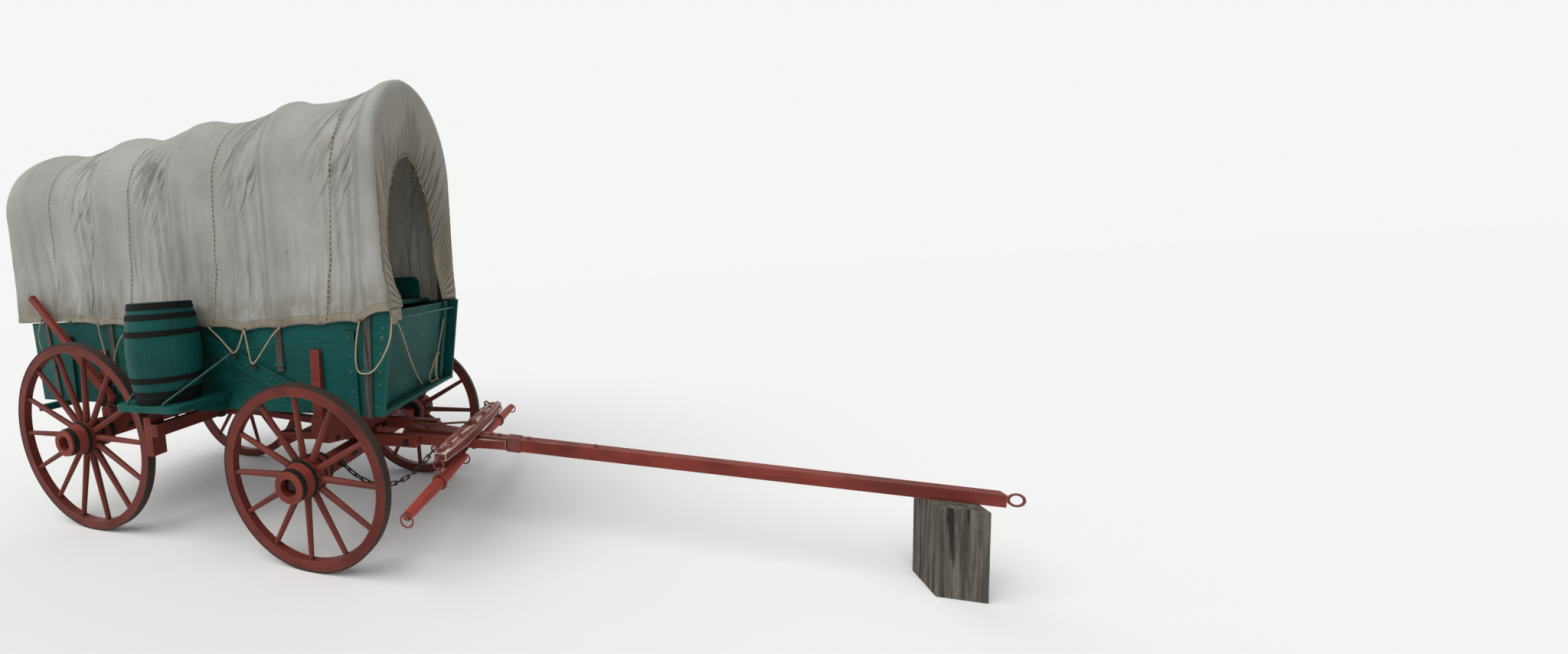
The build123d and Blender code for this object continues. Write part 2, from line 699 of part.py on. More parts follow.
def cover_stations():
    """Cover sections from the rear: x at the ridge, lean, ridge drop and side inset."""
    rows = [(COVER_REAR, 0.0, 12.0, 0.0)]
    bows = sorted(BOWS, key=lambda row: row[1])
    flat = BOW_W / 2 + 3
    for k, row in enumerate(bows):
        x, lean = row[1], lean_of(row)
        if k:
            last = bows[k - 1]
            rows.append(((x + last[1]) / 2, (lean + lean_of(last)) / 2, SAG, SIDE_SAG))
        rows.append((x - flat, lean, 0.0, 0.0))
        rows.append((x + flat, lean, 0.0, 0.0))
    rows.append((COVER_FRONT, 0.0, 12.0, 0.0))
    return rows


def cover_body(inset, hem):
    """Filled form under the cover, inset by its thickness."""
    half = bow_half() + BOW_T + SEAT + CLOTH
    faces = []
    for x, lean, drop, narrow in cover_stations():
        def x_of(z, x=x, lean=lean):
            return x + lean * (z - RIDGE)
        faces.append(arch_face(x_of, half - narrow - inset, RIDGE - drop - inset, hem))
    return loft(faces, ruled=True)


def cover_end(x_end, x_mouth, mouth):
    """Gathered end of the cover, sloping in to its opening."""
    half = bow_half() + BOW_T + SEAT
    way = 1 if x_end > x_mouth else -1
    outer = arch_face(lambda z: x_end, half + 2, RIDGE - 12 - CLOTH + 2, MOUTH_FOOT)
    funnel = loft([mouth_face(x_mouth, mouth, 1), outer], ruled=True)
    shifted = Pos(way * CLOTH, 0, 0) * funnel
    hole = extrude(mouth_face(x_mouth - way * 50, mouth), amount=way * 200, dir=(1, 0, 0))
    return funnel - shifted - hole


def cover():
    """Sheet over the bows, with a gathered opening at each end."""
    tube = cover_body(0, HEM) - cover_body(CLOTH, HEM - 10)
    front = cover_end(COVER_FRONT, COVER_FRONT - MOUTH_IN, FRONT_MOUTH)
    rear = cover_end(COVER_REAR, COVER_REAR + MOUTH_IN, REAR_MOUTH)
    return tube + front + rear


# Running gear

def stakes(x):
    """Upright stakes on a bolster's ends, tapering upward."""
    inner = HALF_W + SEAT
    z0 = BOLSTER_TOP + SEAT
    points = [(inner, z0), (inner, STAKE_TOP), (inner + STAKE_TIP_T, STAKE_TOP), (inner + STAKE_FOOT_T, z0)]
    stake = prism_x(points, x - STAKE_W / 2, x + STAKE_W / 2)
    return [stake, mirror_y(stake)]


def bolster(x, bottom):
    return block(x - BOLSTER_W / 2, x + BOLSTER_W / 2, -BOLSTER_HALF, BOLSTER_HALF, bottom, BOLSTER_TOP)


def king_hole(radius, z0, z1):
    return Pos(0, 0, (z0 + z1) / 2) * Cylinder(radius, z1 - z0)


def reach_z(x):
    """Height of the reach's middle."""
    rear = REAR_AXLE_TOP + REACH_ROOM + REACH_T / 2
    front = FRONT_AXLE_TOP + HOUND_T / 2
    return front + (rear - front) * (-x / WHEELBASE)


def reach():
    """Pole that ties the two axles together."""
    x0 = -WHEELBASE - REACH_TAIL
    body = bar((x0, 0, reach_z(x0)), (REACH_FRONT, 0, reach_z(REACH_FRONT)), REACH_W, REACH_T)
    return body - king_hole(KING_R + SEAT, FRONT_AXLE_BOTTOM, BOLSTER_TOP)


def rear_hounds():
    """Two braces from the rear axle, joining the reach in front of it."""
    bars = []
    z_axle = REAR_AXLE_TOP + REACH_ROOM + REACH_T / 2
    z_join = reach_z(REAR_HOUND_JOIN)
    slope = (z_axle - z_join) / (REAR_HOUND_JOIN + WHEELBASE)
    for way in (-1, 1):
        start = (-WHEELBASE - 90, way * REAR_HOUND_SPREAD, z_axle + slope * 90)
        end = (REAR_HOUND_JOIN, way * (REACH_W / 2 + HOUND_W / 2 - 8), z_join)
        side = REACH_W / 2 + SEAT
        clear = block(start[0] - HOUND_W, 0, -side, side, FRONT_AXLE_BOTTOM, BOLSTER_TOP)
        bars.append(bar(start, end, HOUND_W, REACH_T - 2 * SEAT) - clear)
    return bars


def rear_bolster():
    """Rear bolster, notched over the reach and hounds, with its stakes."""
    body = bolster(-WHEELBASE, REAR_AXLE_TOP + SEAT)
    x0, x1 = -WHEELBASE - BOLSTER_W, -WHEELBASE + BOLSTER_W
    top = REAR_AXLE_TOP + REACH_T + 2 * REACH_ROOM + 2
    low = REAR_AXLE_TOP
    body -= block(x0, x1, -REACH_W / 2 - SEAT, REACH_W / 2 + SEAT, low, top)
    run = (REAR_HOUND_SPREAD - REACH_W / 2 - HOUND_W / 2 + 8) / (REAR_HOUND_JOIN + WHEELBASE + 90)
    for way in (-1, 1):
        y = way * (REAR_HOUND_SPREAD - 90 * run)
        room = HOUND_W / 2 * hypot(1, run) + run * BOLSTER_W / 2 + 1
        body -= block(x0, x1, y - room, y + room, low, top)
    return Compound(children=[body] + stakes(-WHEELBASE))


def front_hounds():
    """Bent timbers through the front gear, with the sway bar across their tails."""
    z = (FRONT_AXLE_TOP + SEAT, FRONT_AXLE_TOP + HOUND_T - SEAT)
    half = HOUND_W / 2
    jaw = FUTCHEL_SPREAD + FUTCHEL_W / 2 + 2 + half
    line = [(TONGUE_PIN_X + 70, jaw), (150, jaw), (-120, jaw), (SWAY_X - 50, SWAY_HALF - 60)]
    bars = []
    for way in (-1, 1):
        points = [(x, way * (y - half)) for x, y in line]
        points += [(x, way * (y + half)) for x, y in reversed(line)]
        body = prism_z(points, *z)
        low, high = sorted((way * (jaw - half), way * (jaw + half)))
        body += block(AXLE_W / 2 + 8, line[0][0], low, high, z[0] - JAW_DROP, z[1])
        body -= tongue_pin_hole()
        bars.append(body)
    return bars


def sway_bar():
    top = FRONT_AXLE_TOP
    return block(SWAY_X - SWAY_W / 2, SWAY_X + SWAY_W / 2, -SWAY_HALF, SWAY_HALF, top - SWAY_T, top)


def front_axle():
    body = axle(0, FRONT_WHEEL_D, FRONT_AXLE_BOTTOM, FRONT_AXLE_TOP)
    return body - king_hole(KING_R + FIT, FRONT_AXLE_BOTTOM - 10, FRONT_AXLE_TOP + 10)


def sand_board():
    """Timber over the front hounds, its underside cut up towards the ends."""
    z0 = FRONT_AXLE_TOP + HOUND_T
    z1 = FRONT_BOLSTER_BOTTOM - SEAT
    points = [(-SAND_BOARD_HALF, z0 + 50), (-300, z0), (300, z0), (SAND_BOARD_HALF, z0 + 50),
              (SAND_BOARD_HALF, z1), (-SAND_BOARD_HALF, z1)]
    body = prism_x(points, -AXLE_W / 2, AXLE_W / 2)
    return body - king_hole(KING_R + FIT, FRONT_AXLE_TOP, BOLSTER_TOP)


def king_bolt():
    low = (Align.CENTER, Align.CENTER, Align.MIN)
    bottom = FRONT_AXLE_BOTTOM - SEAT - 22
    bolt = Pos(0, 0, bottom) * Cylinder(KING_R, BOLSTER_TOP - 12 - bottom, align=low)
    return bolt + Pos(0, 0, bottom) * Cylinder(KING_R + 10, 22, align=low)


def front_bolster():
    body = bolster(0, FRONT_BOLSTER_BOTTOM) - king_hole(KING_R + SEAT, FRONT_AXLE_TOP, BOLSTER_TOP - 12 + SEAT)
    return Compound(children=[body] + stakes(0))


# Tongue and draught gear

def tongue_pin_hole():
    wide = 2 * (FUTCHEL_SPREAD + FUTCHEL_W + HOUND_W) + 60
    return Pos(TONGUE_PIN_X, 0, TONGUE_PIN_Z) * Rot(90, 0, 0) * Cylinder(PIN_R + FIT, wide)


def pole_bar(grow=0.0):
    start = (TONGUE_ROOT_X, 0, tongue_z(TONGUE_ROOT_X))
    end = (TONGUE_TIP_X, 0, TONGUE_TIP_Z)
    root, tip = [(w + grow, d + grow) for w, d in (POLE_ROOT, POLE_TIP)]
    return bar(start, end, *root, tip=tip)


def pole_top(x):
    return tongue_z(x) + pole_depth(x) / 2


def tongue_pole():
    """Tapering pole."""
    body = pole_bar() - tongue_pin_hole()
    hole = Pos(DOUBLETREE_X, 0, tongue_z(DOUBLETREE_X)) * Cylinder(HAMMER_R + SEAT, 200)
    return body - hole


def tongue_futchels():
    """Side arms of the tongue that carry it on the hounds."""
    arms = []
    for way in (-1, 1):
        back = (TONGUE_ROOT_X + 30, way * FUTCHEL_SPREAD, tongue_z(TONGUE_ROOT_X + 30))
        front = (FUTCHEL_JOIN, way * (POLE_ROOT[0] / 2 + 6), tongue_z(FUTCHEL_JOIN))
        arm = bar(back, front, FUTCHEL_W, 62, tip=(FUTCHEL_W * 0.6, 58))
        arms.append(arm - tongue_pin_hole() - pole_bar(2 * SEAT))
    return arms


def tongue_pin():
    half = FUTCHEL_SPREAD + FUTCHEL_W / 2 + HOUND_W + 24
    pin = rod((TONGUE_PIN_X, -half, TONGUE_PIN_Z), (TONGUE_PIN_X, half, TONGUE_PIN_Z), PIN_R)
    for y in (-half, half - 12):
        pin += rod((TONGUE_PIN_X, y, TONGUE_PIN_Z), (TONGUE_PIN_X, y + 12, TONGUE_PIN_Z), PIN_R + 8)
    return pin


def doubletree_bottom():
    return pole_top(DOUBLETREE_X) + 6


def doubletree():
    """Cross bar on the tongue, thinner and narrower at its ends."""
    z0 = doubletree_bottom()
    half, full = DOUBLETREE_HALF, DOUBLETREE_HALF * 0.45
    w0, w1 = DOUBLETREE_W / 2, DOUBLETREE_END_W / 2
    x = DOUBLETREE_X
    plan = [(x - w0, -full), (x - w1, -half), (x + w1, -half), (x + w0, -full),
            (x + w0, full), (x + w1, half), (x - w1, half), (x - w0, full)]
    body = prism_z(plan, z0, z0 + DOUBLETREE_T)
    lift = DOUBLETREE_T - DOUBLETREE_END_T
    for way in (-1, 1):
        under = [(way * full, z0 - 1), (way * (half + 1), z0 - 1), (way * (half + 1), z0 + lift)]
        body -= prism_x(under, x - DOUBLETREE_W, x + DOUBLETREE_W)
        body -= rod((x, way * (half - 82), hook_z()), (x, way * (half + 5), hook_z()), HOOK_R + SEAT)
    return body - Pos(x, 0, z0) * Cylinder(HAMMER_R + FIT, 300)


def hammer_pin():
    """Pin through the doubletree and the pole, its head over the strap's eye."""
    over = doubletree_bottom() + DOUBLETREE_T + STRAP_T + 2 * SEAT
    bottom = tongue_z(DOUBLETREE_X) - pole_depth(DOUBLETREE_X) / 2 - 24
    pin = rod((DOUBLETREE_X, 0, bottom), (DOUBLETREE_X, 0, over + 18), HAMMER_R)
    return pin + rod((DOUBLETREE_X, 0, over), (DOUBLETREE_X, 0, over + 18), HAMMER_R + 10)


def hammer_strap():
    """Strap from the hammer pin back and down to a staple on the pole."""
    z0 = doubletree_bottom() + DOUBLETREE_T + SEAT
    z1 = z0 + STRAP_T
    bend = DOUBLETREE_X - DOUBLETREE_W / 2 - 14
    back = DOUBLETREE_X - STRAP_L
    low = pole_top(back) + 14
    side = [(DOUBLETREE_X, z0), (bend, z0), (back, low), (back, low + STRAP_T), (bend, z1), (DOUBLETREE_X, z1)]
    body = prism_y(side, -STRAP_W / 2, STRAP_W / 2)
    body += rod((DOUBLETREE_X, 0, z0), (DOUBLETREE_X, 0, z1), HAMMER_R + 12)
    foot = [(back - 12, pole_top(back - 12) + SEAT), (back + 12, pole_top(back + 12) + SEAT),
            (back + 12, low + 4), (back - 12, low + 4)]
    body += prism_y(foot, -STRAP_W / 2 - 4, STRAP_W / 2 + 4)
    return body - rod((DOUBLETREE_X, 0, z0 - 1), (DOUBLETREE_X, 0, z1 + 1), HAMMER_R + SEAT)


def pole_sleeve():
    """Iron sleeve on the pole in front of the side arms."""
    x0, x1 = SLEEVE_X
    body = pole_bar(2 * SLEEVE_T + 2 * SEAT) & block(x0, x1, -POLE_ROOT[0], POLE_ROOT[0], 0, BOX_BOTTOM)
    return body - pole_bar(2 * SEAT)


def wear_plate():
    """Wear plate under the doubletree."""
    x0, x1 = DOUBLETREE_X - DOUBLETREE_W / 2, DOUBLETREE_X + DOUBLETREE_W / 2
    under = [(x, pole_top(x) + 3 * SEAT) for x in (x0, x1)]
    over = doubletree_bottom() - SEAT
    plate = prism_y(under + [(x1, over), (x0, over)], -34, 34)
    plate -= Pos(DOUBLETREE_X, 0, over) * Cylinder(HAMMER_R + SEAT, 60)
    return plate


def neck_ring():
    """Ring at the tongue's tip."""
    z = TONGUE_TIP_Z
    body = ring((NOSE_X - NECK_RING_R, 0, z), (0, 1, 0), NECK_RING_R - IRON_R, IRON_R)
    return body + rod((TONGUE_TIP_X + SEAT, 0, z), (TONGUE_TIP_X + TIP_STUB + IRON_R, 0, z), IRON_R + 2)


def hook_z():
    """Middle of the doubletree's end, where its eye sits."""
    return doubletree_bottom() + DOUBLETREE_T - DOUBLETREE_END_T / 2


def link_z():
    return hook_z() - HOOK_EYE_R + IRON_R + LINK_WIRE + LINK_GAP - LINK_R


def clip_eye_z():
    """Middle of the eye on the singletree's clip, hung in the link."""
    return link_z() - LINK_R - (CLIP_EYE_R - 2 * LINK_WIRE - LINK_GAP)


def clip_r():
    return SINGLETREE_R + IRON_R + SEAT


def singletree_z():
    return clip_eye_z() - CLIP_EYE_R - clip_r()


def chain_ends():
    """Middles of the rings that the right stay chain hangs between."""
    y = -DOUBLETREE_HALF + 60
    full = DOUBLETREE_HALF * 0.45
    share = (-y - full) / (DOUBLETREE_HALF - full)
    edge = DOUBLETREE_X - (DOUBLETREE_W + share * (DOUBLETREE_END_W - DOUBLETREE_W)) / 2
    top = doubletree_bottom() + DOUBLETREE_T
    front = Vector(edge - CHAIN_RING_R - IRON_R, y, top)
    return front, Vector(AXLE_W / 2 + SEAT + CHAIN_RING_R + IRON_R, -CHAIN_AXLE_Y, FRONT_AXLE_BOTTOM + 32)


def doubletree_irons():
    """Eye bolts in the doubletree's ends, and the plates with the stay chains' rings."""
    irons = []
    x, z = DOUBLETREE_X, hook_z()
    for way in (-1, 1):
        bolt = ring((x, way * HOOK_Y, z), (1, 0, 0), HOOK_EYE_R, IRON_R)
        bolt += rod((x, way * (DOUBLETREE_HALF - 80), z), (x, way * (HOOK_Y - HOOK_EYE_R), z), HOOK_R)
        bolt += rod((x, way * (DOUBLETREE_HALF + SEAT), z), (x, way * (DOUBLETREE_HALF + 4), z), HOOK_R + 8)
        irons.append(bolt)
    front = chain_ends()[0]
    low, high = front.Z + SEAT, front.Z + SEAT + IRON_R
    plate = block(front.X, front.X + CHAIN_RING_R + CHAIN_PLATE, front.Y - 10, front.Y + 10, low, high)
    plate -= block(front.X - 10, front.X + CHAIN_RING_R - IRON_R, front.Y - 11, front.Y + 11, low - 1, high + 1)
    plate += ring(front, (0, 1, 0), CHAIN_RING_R, IRON_R)
    return Compound(children=irons + [plate, mirror_y(plate)])


def singletree():
    """Right singletree: round bar, thickest at its middle."""
    x, y, z = DOUBLETREE_X, -HOOK_Y, singletree_z()
    inner = rod((x, y, z), (x, y + SINGLETREE_HALF, z), SINGLETREE_R, SINGLETREE_END_R)
    outer = rod((x, y, z), (x, y - SINGLETREE_HALF, z), SINGLETREE_R, SINGLETREE_END_R)
    return inner + outer


def singletree_irons():
    """Clip, link and end pins of the right singletree."""
    x, z = DOUBLETREE_X, singletree_z()
    clip = ring((x, -HOOK_Y, z), (0, 1, 0), clip_r(), IRON_R)
    clip += ring((x, -HOOK_Y, clip_eye_z()), (1, 0, 0), CLIP_EYE_R, LINK_WIRE)
    irons = [clip, ring((x, -HOOK_Y, link_z()), (0, 1, 0), LINK_R, LINK_WIRE)]
    for way in (-1, 1):
        end = -HOOK_Y + way * (SINGLETREE_HALF + SEAT)
        pin = rod((x, end, z), (x, end + way * END_PIN_L, z), END_PIN_R)
        cap = end + way * (END_PIN_L - 4)
        irons.append(pin + rod((x, cap, z), (x, cap + way * 4, z), END_PIN_R + 5))
    return Compound(children=irons + trace_rings())


def trace_rings():
    """Rings that hang from the right singletree's end pins."""
    z = singletree_z() - (TRACE_RING_R - LINK_WIRE - END_PIN_R - LINK_GAP)
    rings = []
    for way in (-1, 1):
        y = -HOOK_Y + way * (SINGLETREE_HALF + SEAT + END_PIN_L / 2)
        rings.append(ring((DOUBLETREE_X, y, z), (0, 1, 0), TRACE_RING_R, LINK_WIRE))
    return rings


def stay_chains():
    """Chains from the doubletree's ends back to the axle, hanging in a curve."""
    front, rear = chain_ends()
    ring_gap = CHAIN_RING_R - IRON_R - 3 * SEAT
    sag = Vector(0, 0, 4 * CHAIN_SAG)
    start = front + (rear - front - sag).normalized() * ring_gap
    end = rear - (rear - front + sag).normalized() * ring_gap
    points = hanging(start, end)
    links = []
    for k, (a, b) in enumerate(zip(points, points[1:])):
        along = (b - a).normalized()
        side = along.cross(Vector(0, 0, 1)).normalized()
        links.append(chain_link(a, b, side if k % 2 else along.cross(side)))
    return Compound(children=links + [mirror_y(link) for link in links])


def chain_eyes():
    """Eyes on the front of the axle that the stay chains hang from."""
    rear = chain_ends()[1]
    eye = ring(rear, (0, 1, 0), CHAIN_RING_R, IRON_R)
    eye += rod((AXLE_W / 2 + SEAT, rear.Y, rear.Z), (rear.X - CHAIN_RING_R, rear.Y, rear.Z), IRON_R)
    return [eye, mirror_y(eye)]


def front_gear_irons():
    """Axle arms, tongue pin and chain eyes, which turn with the front gear."""
    arms = [axle_arm(0, FRONT_WHEEL_D, way) for way in (-1, 1)]
    return Compound(children=arms + [tongue_pin()] + chain_eyes())


def hanging(start, end):
    """Points at equal steps along a chain's curve."""
    count = 2000
    fine = [start + (end - start) * t - Vector(0, 0, 4 * CHAIN_SAG * t * (1 - t))
            for t in [k / count for k in range(count + 1)]]
    run = [0.0]
    for a, b in zip(fine, fine[1:]):
        run.append(run[-1] + (b - a).length)
    step = run[-1] / CHAIN_LINKS
    return [start] + [fine[next(i for i, r in enumerate(run) if r >= k * step - 0.01)]
                      for k in range(1, CHAIN_LINKS)] + [end]


def chain_link(start, end, normal):
    """Square-cornered link of square bar, whose hole runs from start to end."""
    plane = Plane(origin=(start + end) / 2, x_dir=(end - start).normalized(), z_dir=normal)
    length = (end - start).length + 2 * SEAT
    wide = 1.9 * CHAIN_WIRE
    face = Rectangle(length + 2 * CHAIN_WIRE, wide + 2 * CHAIN_WIRE) - Rectangle(length, wide)
    return plane * (Pos(0, 0, -CHAIN_WIRE / 2) * extrude(face, amount=CHAIN_WIRE))


# Brake

def lever_in():
    """Inner face of the brake lever, clear of the stakes."""
    return -(HALF_W + STAKE_FOOT_T + 5)


def lever_out():
    return lever_in() - BRAKE_LEVER_T


def brake_lever():
    """Long lever beside the box, pinned above its lower end."""
    top = Vector(BRAKE_TOP_X, 0, BRAKE_TOP_Z)
    pin = Vector(BRAKE_PIN_X, 0, BRAKE_PIN_Z)
    along = (pin - top).normalized()
    foot = pin + along * BRAKE_ARM
    y = (lever_in() + lever_out()) / 2
    body = bar((foot.X, y, foot.Z), (top.X, y, top.Z), BRAKE_LEVER_T, BRAKE_LEVER_W,
               tip=(BRAKE_LEVER_T, BRAKE_LEVER_TIP_W))
    return body - rod((pin.X, y + 100, pin.Z), (pin.X, y - 100, pin.Z), PIN_R + FIT)


def lever_iron():
    """Plate on the lever that pulls the brake rod."""
    y0 = lever_out() - SEAT
    y1 = y0 - BRAKE_PLATE_T
    x, z = BRAKE_PIN_X, BRAKE_PIN_Z
    half = 20
    plate = block(x - half, x + half, y1, y0, z - BRAKE_ARM, z)
    for height in (z, z - BRAKE_ARM):
        plate += rod((x, y0, height), (x, y1, height), half)
    plate += rod((x, y1, z - BRAKE_ARM), (x, y1 - ROD_EYE_T - 3, z - BRAKE_ARM), HOOK_R)
    return plate - rod((x, y0 + 5, z), (x, y1 - 5, z), PIN_R + FIT)


def brake_brackets():
    """Pin that carries the lever, and the keepers that the beam slides in."""
    x, z = BRAKE_PIN_X, BRAKE_PIN_Z
    face = -HALF_W - CLEAT_T - SEAT
    pin = block(x - 29, x + 29, face - 9, face, z - 40, z + 40)
    pin += rod((x, face, z), (x, lever_in() + SEAT, z), PIN_R + 8)
    head = lever_out() - BRAKE_PLATE_T - 2 * SEAT
    pin += rod((x, face, z), (x, head - 8, z), PIN_R)
    pin += rod((x, head, z), (x, head - 8, z), PIN_R + 6)
    parts = [pin]
    x0, x1 = beam_x() - BRAKE_TRAVEL - 6, beam_x() + BRAKE_BEAM_T + 6
    low, high = BRAKE_BEAM_Z - BRAKE_BEAM_H / 2 - SEAT, BRAKE_BEAM_Z + BRAKE_BEAM_H / 2 + SEAT
    for y in (-300, 300):
        keeper = block(x0 - 8, x1 + 8, y - 20, y + 20, low - 8, FLOOR_BOTTOM - SEAT)
        parts.append(keeper - block(x0, x1, y - 30, y + 30, low, high))
    return Compound(children=parts)


def shoe_x():
    """Face of the brake shoes, before the rear tyres."""
    return -WHEELBASE + REAR_WHEEL_D / 2 + BRAKE_GAP


def beam_x():
    return shoe_x() + SHOE_T


def brake_shoes():
    """Blocks before the rear tyres."""
    parts = []
    for way in (-1, 1):
        y = way * HALF_TRACK
        shoe = block(shoe_x(), beam_x() - SEAT, y - SHOE_W / 2, y + SHOE_W / 2,
                     SHOE_Z - SHOE_H / 2, SHOE_Z + SHOE_H / 2)
        parts.append(shoe)
    return Compound(children=parts)


def brake_beam():
    """Beam across under the box."""
    half = HALF_TRACK + SHOE_W / 2
    return block(beam_x(), beam_x() + BRAKE_BEAM_T, -half, half,
                 BRAKE_BEAM_Z - BRAKE_BEAM_H / 2, BRAKE_BEAM_Z + BRAKE_BEAM_H / 2)


def brake_rod():
    """Rod from the lever's plate to the beam, its rear eye loose on the pin."""
    y0 = lever_out() - BRAKE_PLATE_T - 2 * SEAT
    y1 = y0 - ROD_EYE_T
    x, z = BRAKE_PIN_X, BRAKE_PIN_Z - BRAKE_ARM
    middle = (y0 + y1) / 2
    end_x = beam_x() + BRAKE_BEAM_T / 2
    top = BRAKE_BEAM_Z + BRAKE_BEAM_H / 2 + SEAT
    body = rod((x, y0, z), (x, y1, z), 20)
    body += rod((x, middle, z), (end_x, middle, top + 12), BRAKE_ROD_R)
    body += rod((end_x, middle, top), (end_x, middle, top + 20), BRAKE_ROD_R + 5)
    return body - rod((x, y0 + 9, z), (x, y1 - 9, z), HOOK_R + 3)


def tongue_post():
    """Squared stump that the tongue's tip rests on."""
    x = TONGUE_TIP_X - POST_BACK
    x0, x1 = x - POST_D / 2, x + POST_D / 2
    tops = [(s, tongue_z(s) - pole_depth(s) / 2 - 2 * SEAT) for s in (x1, x0)]
    return prism_y([(x0, 0), (x1, 0)] + tops, -POST_W / 2, POST_W / 2)


def export(name, shape):
    moved = Pos(-X_MIDDLE, 0, 0) * shape
    moved = Compound(children=list(moved.solids()))
    export_step(moved, f"parts/{name}.step")
    return moved


def nodes():
    """Every node's shape by name."""
    right_side = box_side()
    staves, hoops = barrel()
    made = {
        "box_floor": box_floor(),
        "box_side_right": right_side,
        "box_side_left": mirror_y(right_side),
        "front_endgate": gate(front_x, -1),
        "rear_endgate": gate(rear_x, 1),
        "box_sills": box_sills(),
        "bows": Compound(children=[bow(*row) for row in BOWS]),
        "bow_staples": bow_staples(),
        "cover": cover(),
        "seat": seat(),
        "barrel": staves,
        "barrel_hoops": hoops,
        "barrel_shelf": Compound(children=[shelf()] + shelf_brackets()),
        "box_rods": Compound(children=[gate_rod()] + shelf_rods()),
        "rear_axle": axle(-WHEELBASE, REAR_WHEEL_D, REAR_AXLE_BOTTOM, REAR_AXLE_TOP),
        "rear_axle_arms": Compound(children=[axle_arm(-WHEELBASE, REAR_WHEEL_D, w) for w in (-1, 1)]),
        "rear_bolster": rear_bolster(),
        "reach": Compound(children=[reach()] + rear_hounds()),
        "front_bolster": front_bolster(),
        "king_bolt": king_bolt(),
        "sand_board": sand_board(),
        "front_axle": front_axle(),
        "front_gear_irons": front_gear_irons(),
        "front_hounds": Compound(children=front_hounds() + [sway_bar()]),
        "brake_beam": brake_beam(),
        "brake_shoes": brake_shoes(),
        "brake_rod": brake_rod(),
        "brake_lever": brake_lever(),
        "lever_iron": lever_iron(),
        "brake_brackets": brake_brackets(),
        "tongue_pole": Compound(children=[tongue_pole()] + tongue_futchels()),
        "tongue_irons": Compound(children=[wear_plate(), hammer_pin(), hammer_strap(), pole_sleeve(), neck_ring()]),
        "doubletree": doubletree(),
        "doubletree_irons": doubletree_irons(),
        "singletree_right": singletree(),
        "singletree_left": mirror_y(singletree()),
        "singletree_irons_right": singletree_irons(),
        "singletree_irons_left": mirror_y(singletree_irons()),
        "stay_chains": stay_chains(),
        "tongue_post": tongue_post(),
    }
    for end, x, diameter, spokes in (("front", 0, FRONT_WHEEL_D, FRONT_SPOKES),
                                     ("rear", -WHEELBASE, REAR_WHEEL_D, REAR_SPOKES)):
        wood, tyre = wheel_wood(diameter, spokes), wheel_tyre(diameter)
        middle = hub()
        for name, side in (("right", -1), ("left", 1)):
            place = wheel_place(x, diameter, side)
            made[f"wheel_{end}_{name}"] = place * wood
            made[f"hub_{end}_{name}"] = place * middle
            made[f"tyre_{end}_{name}"] = place * tyre
    return made


def main():
    os.makedirs("parts", exist_ok=True)
    for name, shape in nodes().items():
        export(name, shape)


if __name__ == "__main__":
    main()
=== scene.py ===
"""Covered wagon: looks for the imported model, in its own frame, in metres."""
import math

import bpy
from mathutils import Matrix, Vector, noise


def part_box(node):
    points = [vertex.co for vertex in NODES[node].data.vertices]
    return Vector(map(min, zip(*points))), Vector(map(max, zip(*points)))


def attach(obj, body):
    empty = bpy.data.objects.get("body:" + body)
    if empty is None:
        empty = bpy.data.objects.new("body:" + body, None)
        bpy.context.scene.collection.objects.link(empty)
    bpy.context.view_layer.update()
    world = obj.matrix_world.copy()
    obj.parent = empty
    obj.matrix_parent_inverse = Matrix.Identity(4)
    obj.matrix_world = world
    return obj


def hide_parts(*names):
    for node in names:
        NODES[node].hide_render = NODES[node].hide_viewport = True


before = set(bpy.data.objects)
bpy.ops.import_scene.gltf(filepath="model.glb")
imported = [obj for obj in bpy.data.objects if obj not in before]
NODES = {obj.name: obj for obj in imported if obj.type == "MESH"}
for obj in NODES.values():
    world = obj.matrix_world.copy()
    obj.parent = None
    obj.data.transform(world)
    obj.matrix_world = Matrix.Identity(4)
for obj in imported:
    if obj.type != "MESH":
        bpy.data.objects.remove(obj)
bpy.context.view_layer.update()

SHIFT = -0.305            # the source's front axle, in this frame

# Sizes repeated from the part's source, in metres from the front axle
BOWS = [                  # foot x, ridge x, foot z, from the rear
    (-2.476, -2.720, 0.900),
    (-1.800, -1.800, 1.062),
    (-1.040, -1.040, 1.138),
    (-0.275, -0.275, 1.138),
    (0.340, 0.440, 0.866),
]
RIDGE = 2.914
HALF = 0.5636             # outside of the cloth
ON_CLOTH = HALF + 0.010   # middle of a rope that lies on it
COVER_REAR = -2.870
COVER_FRONT = 0.490
CLOTH_THICK = 0.0025
MOUTH_FOOT = 1.502
MOUTH_IN = 0.070
MOUTH_ARCH = 0.52         # share of an opening's edge that is its arch
FRONT_MOUTH = (0.424, 0.350, 1.800, 2.470)     # half widths at foot and shoulder, shoulder z, top z
REAR_MOUTH = (0.210, 0.210, 1.900, 2.260)
BARREL_X = -0.965
WHEELBASE = 1.900
WHEEL_Y = 0.765
CAMBER = math.radians(2)
BOX_SIDE = 0.543          # outside of the side boards
BOX_FOOT = 0.876
BOX_HIGH = 0.617
BOX_ENDS = {1: (0.434, 0.088), -1: (-2.698, -0.036)}    # foot x and lean of the front and rear end


def place(x, y, z):
    """Point of the source, in this frame."""
    return Vector((x + SHIFT, y, z))


def clamp(value, low=0.0, high=1.0):
    return max(low, min(high, value))


def ease(value):
    """Smooth step from 0 to 1."""
    value = clamp(value)
    return value * value * (3 - 2 * value)


def mix(a, b, share):
    return a + (b - a) * share


# Materials

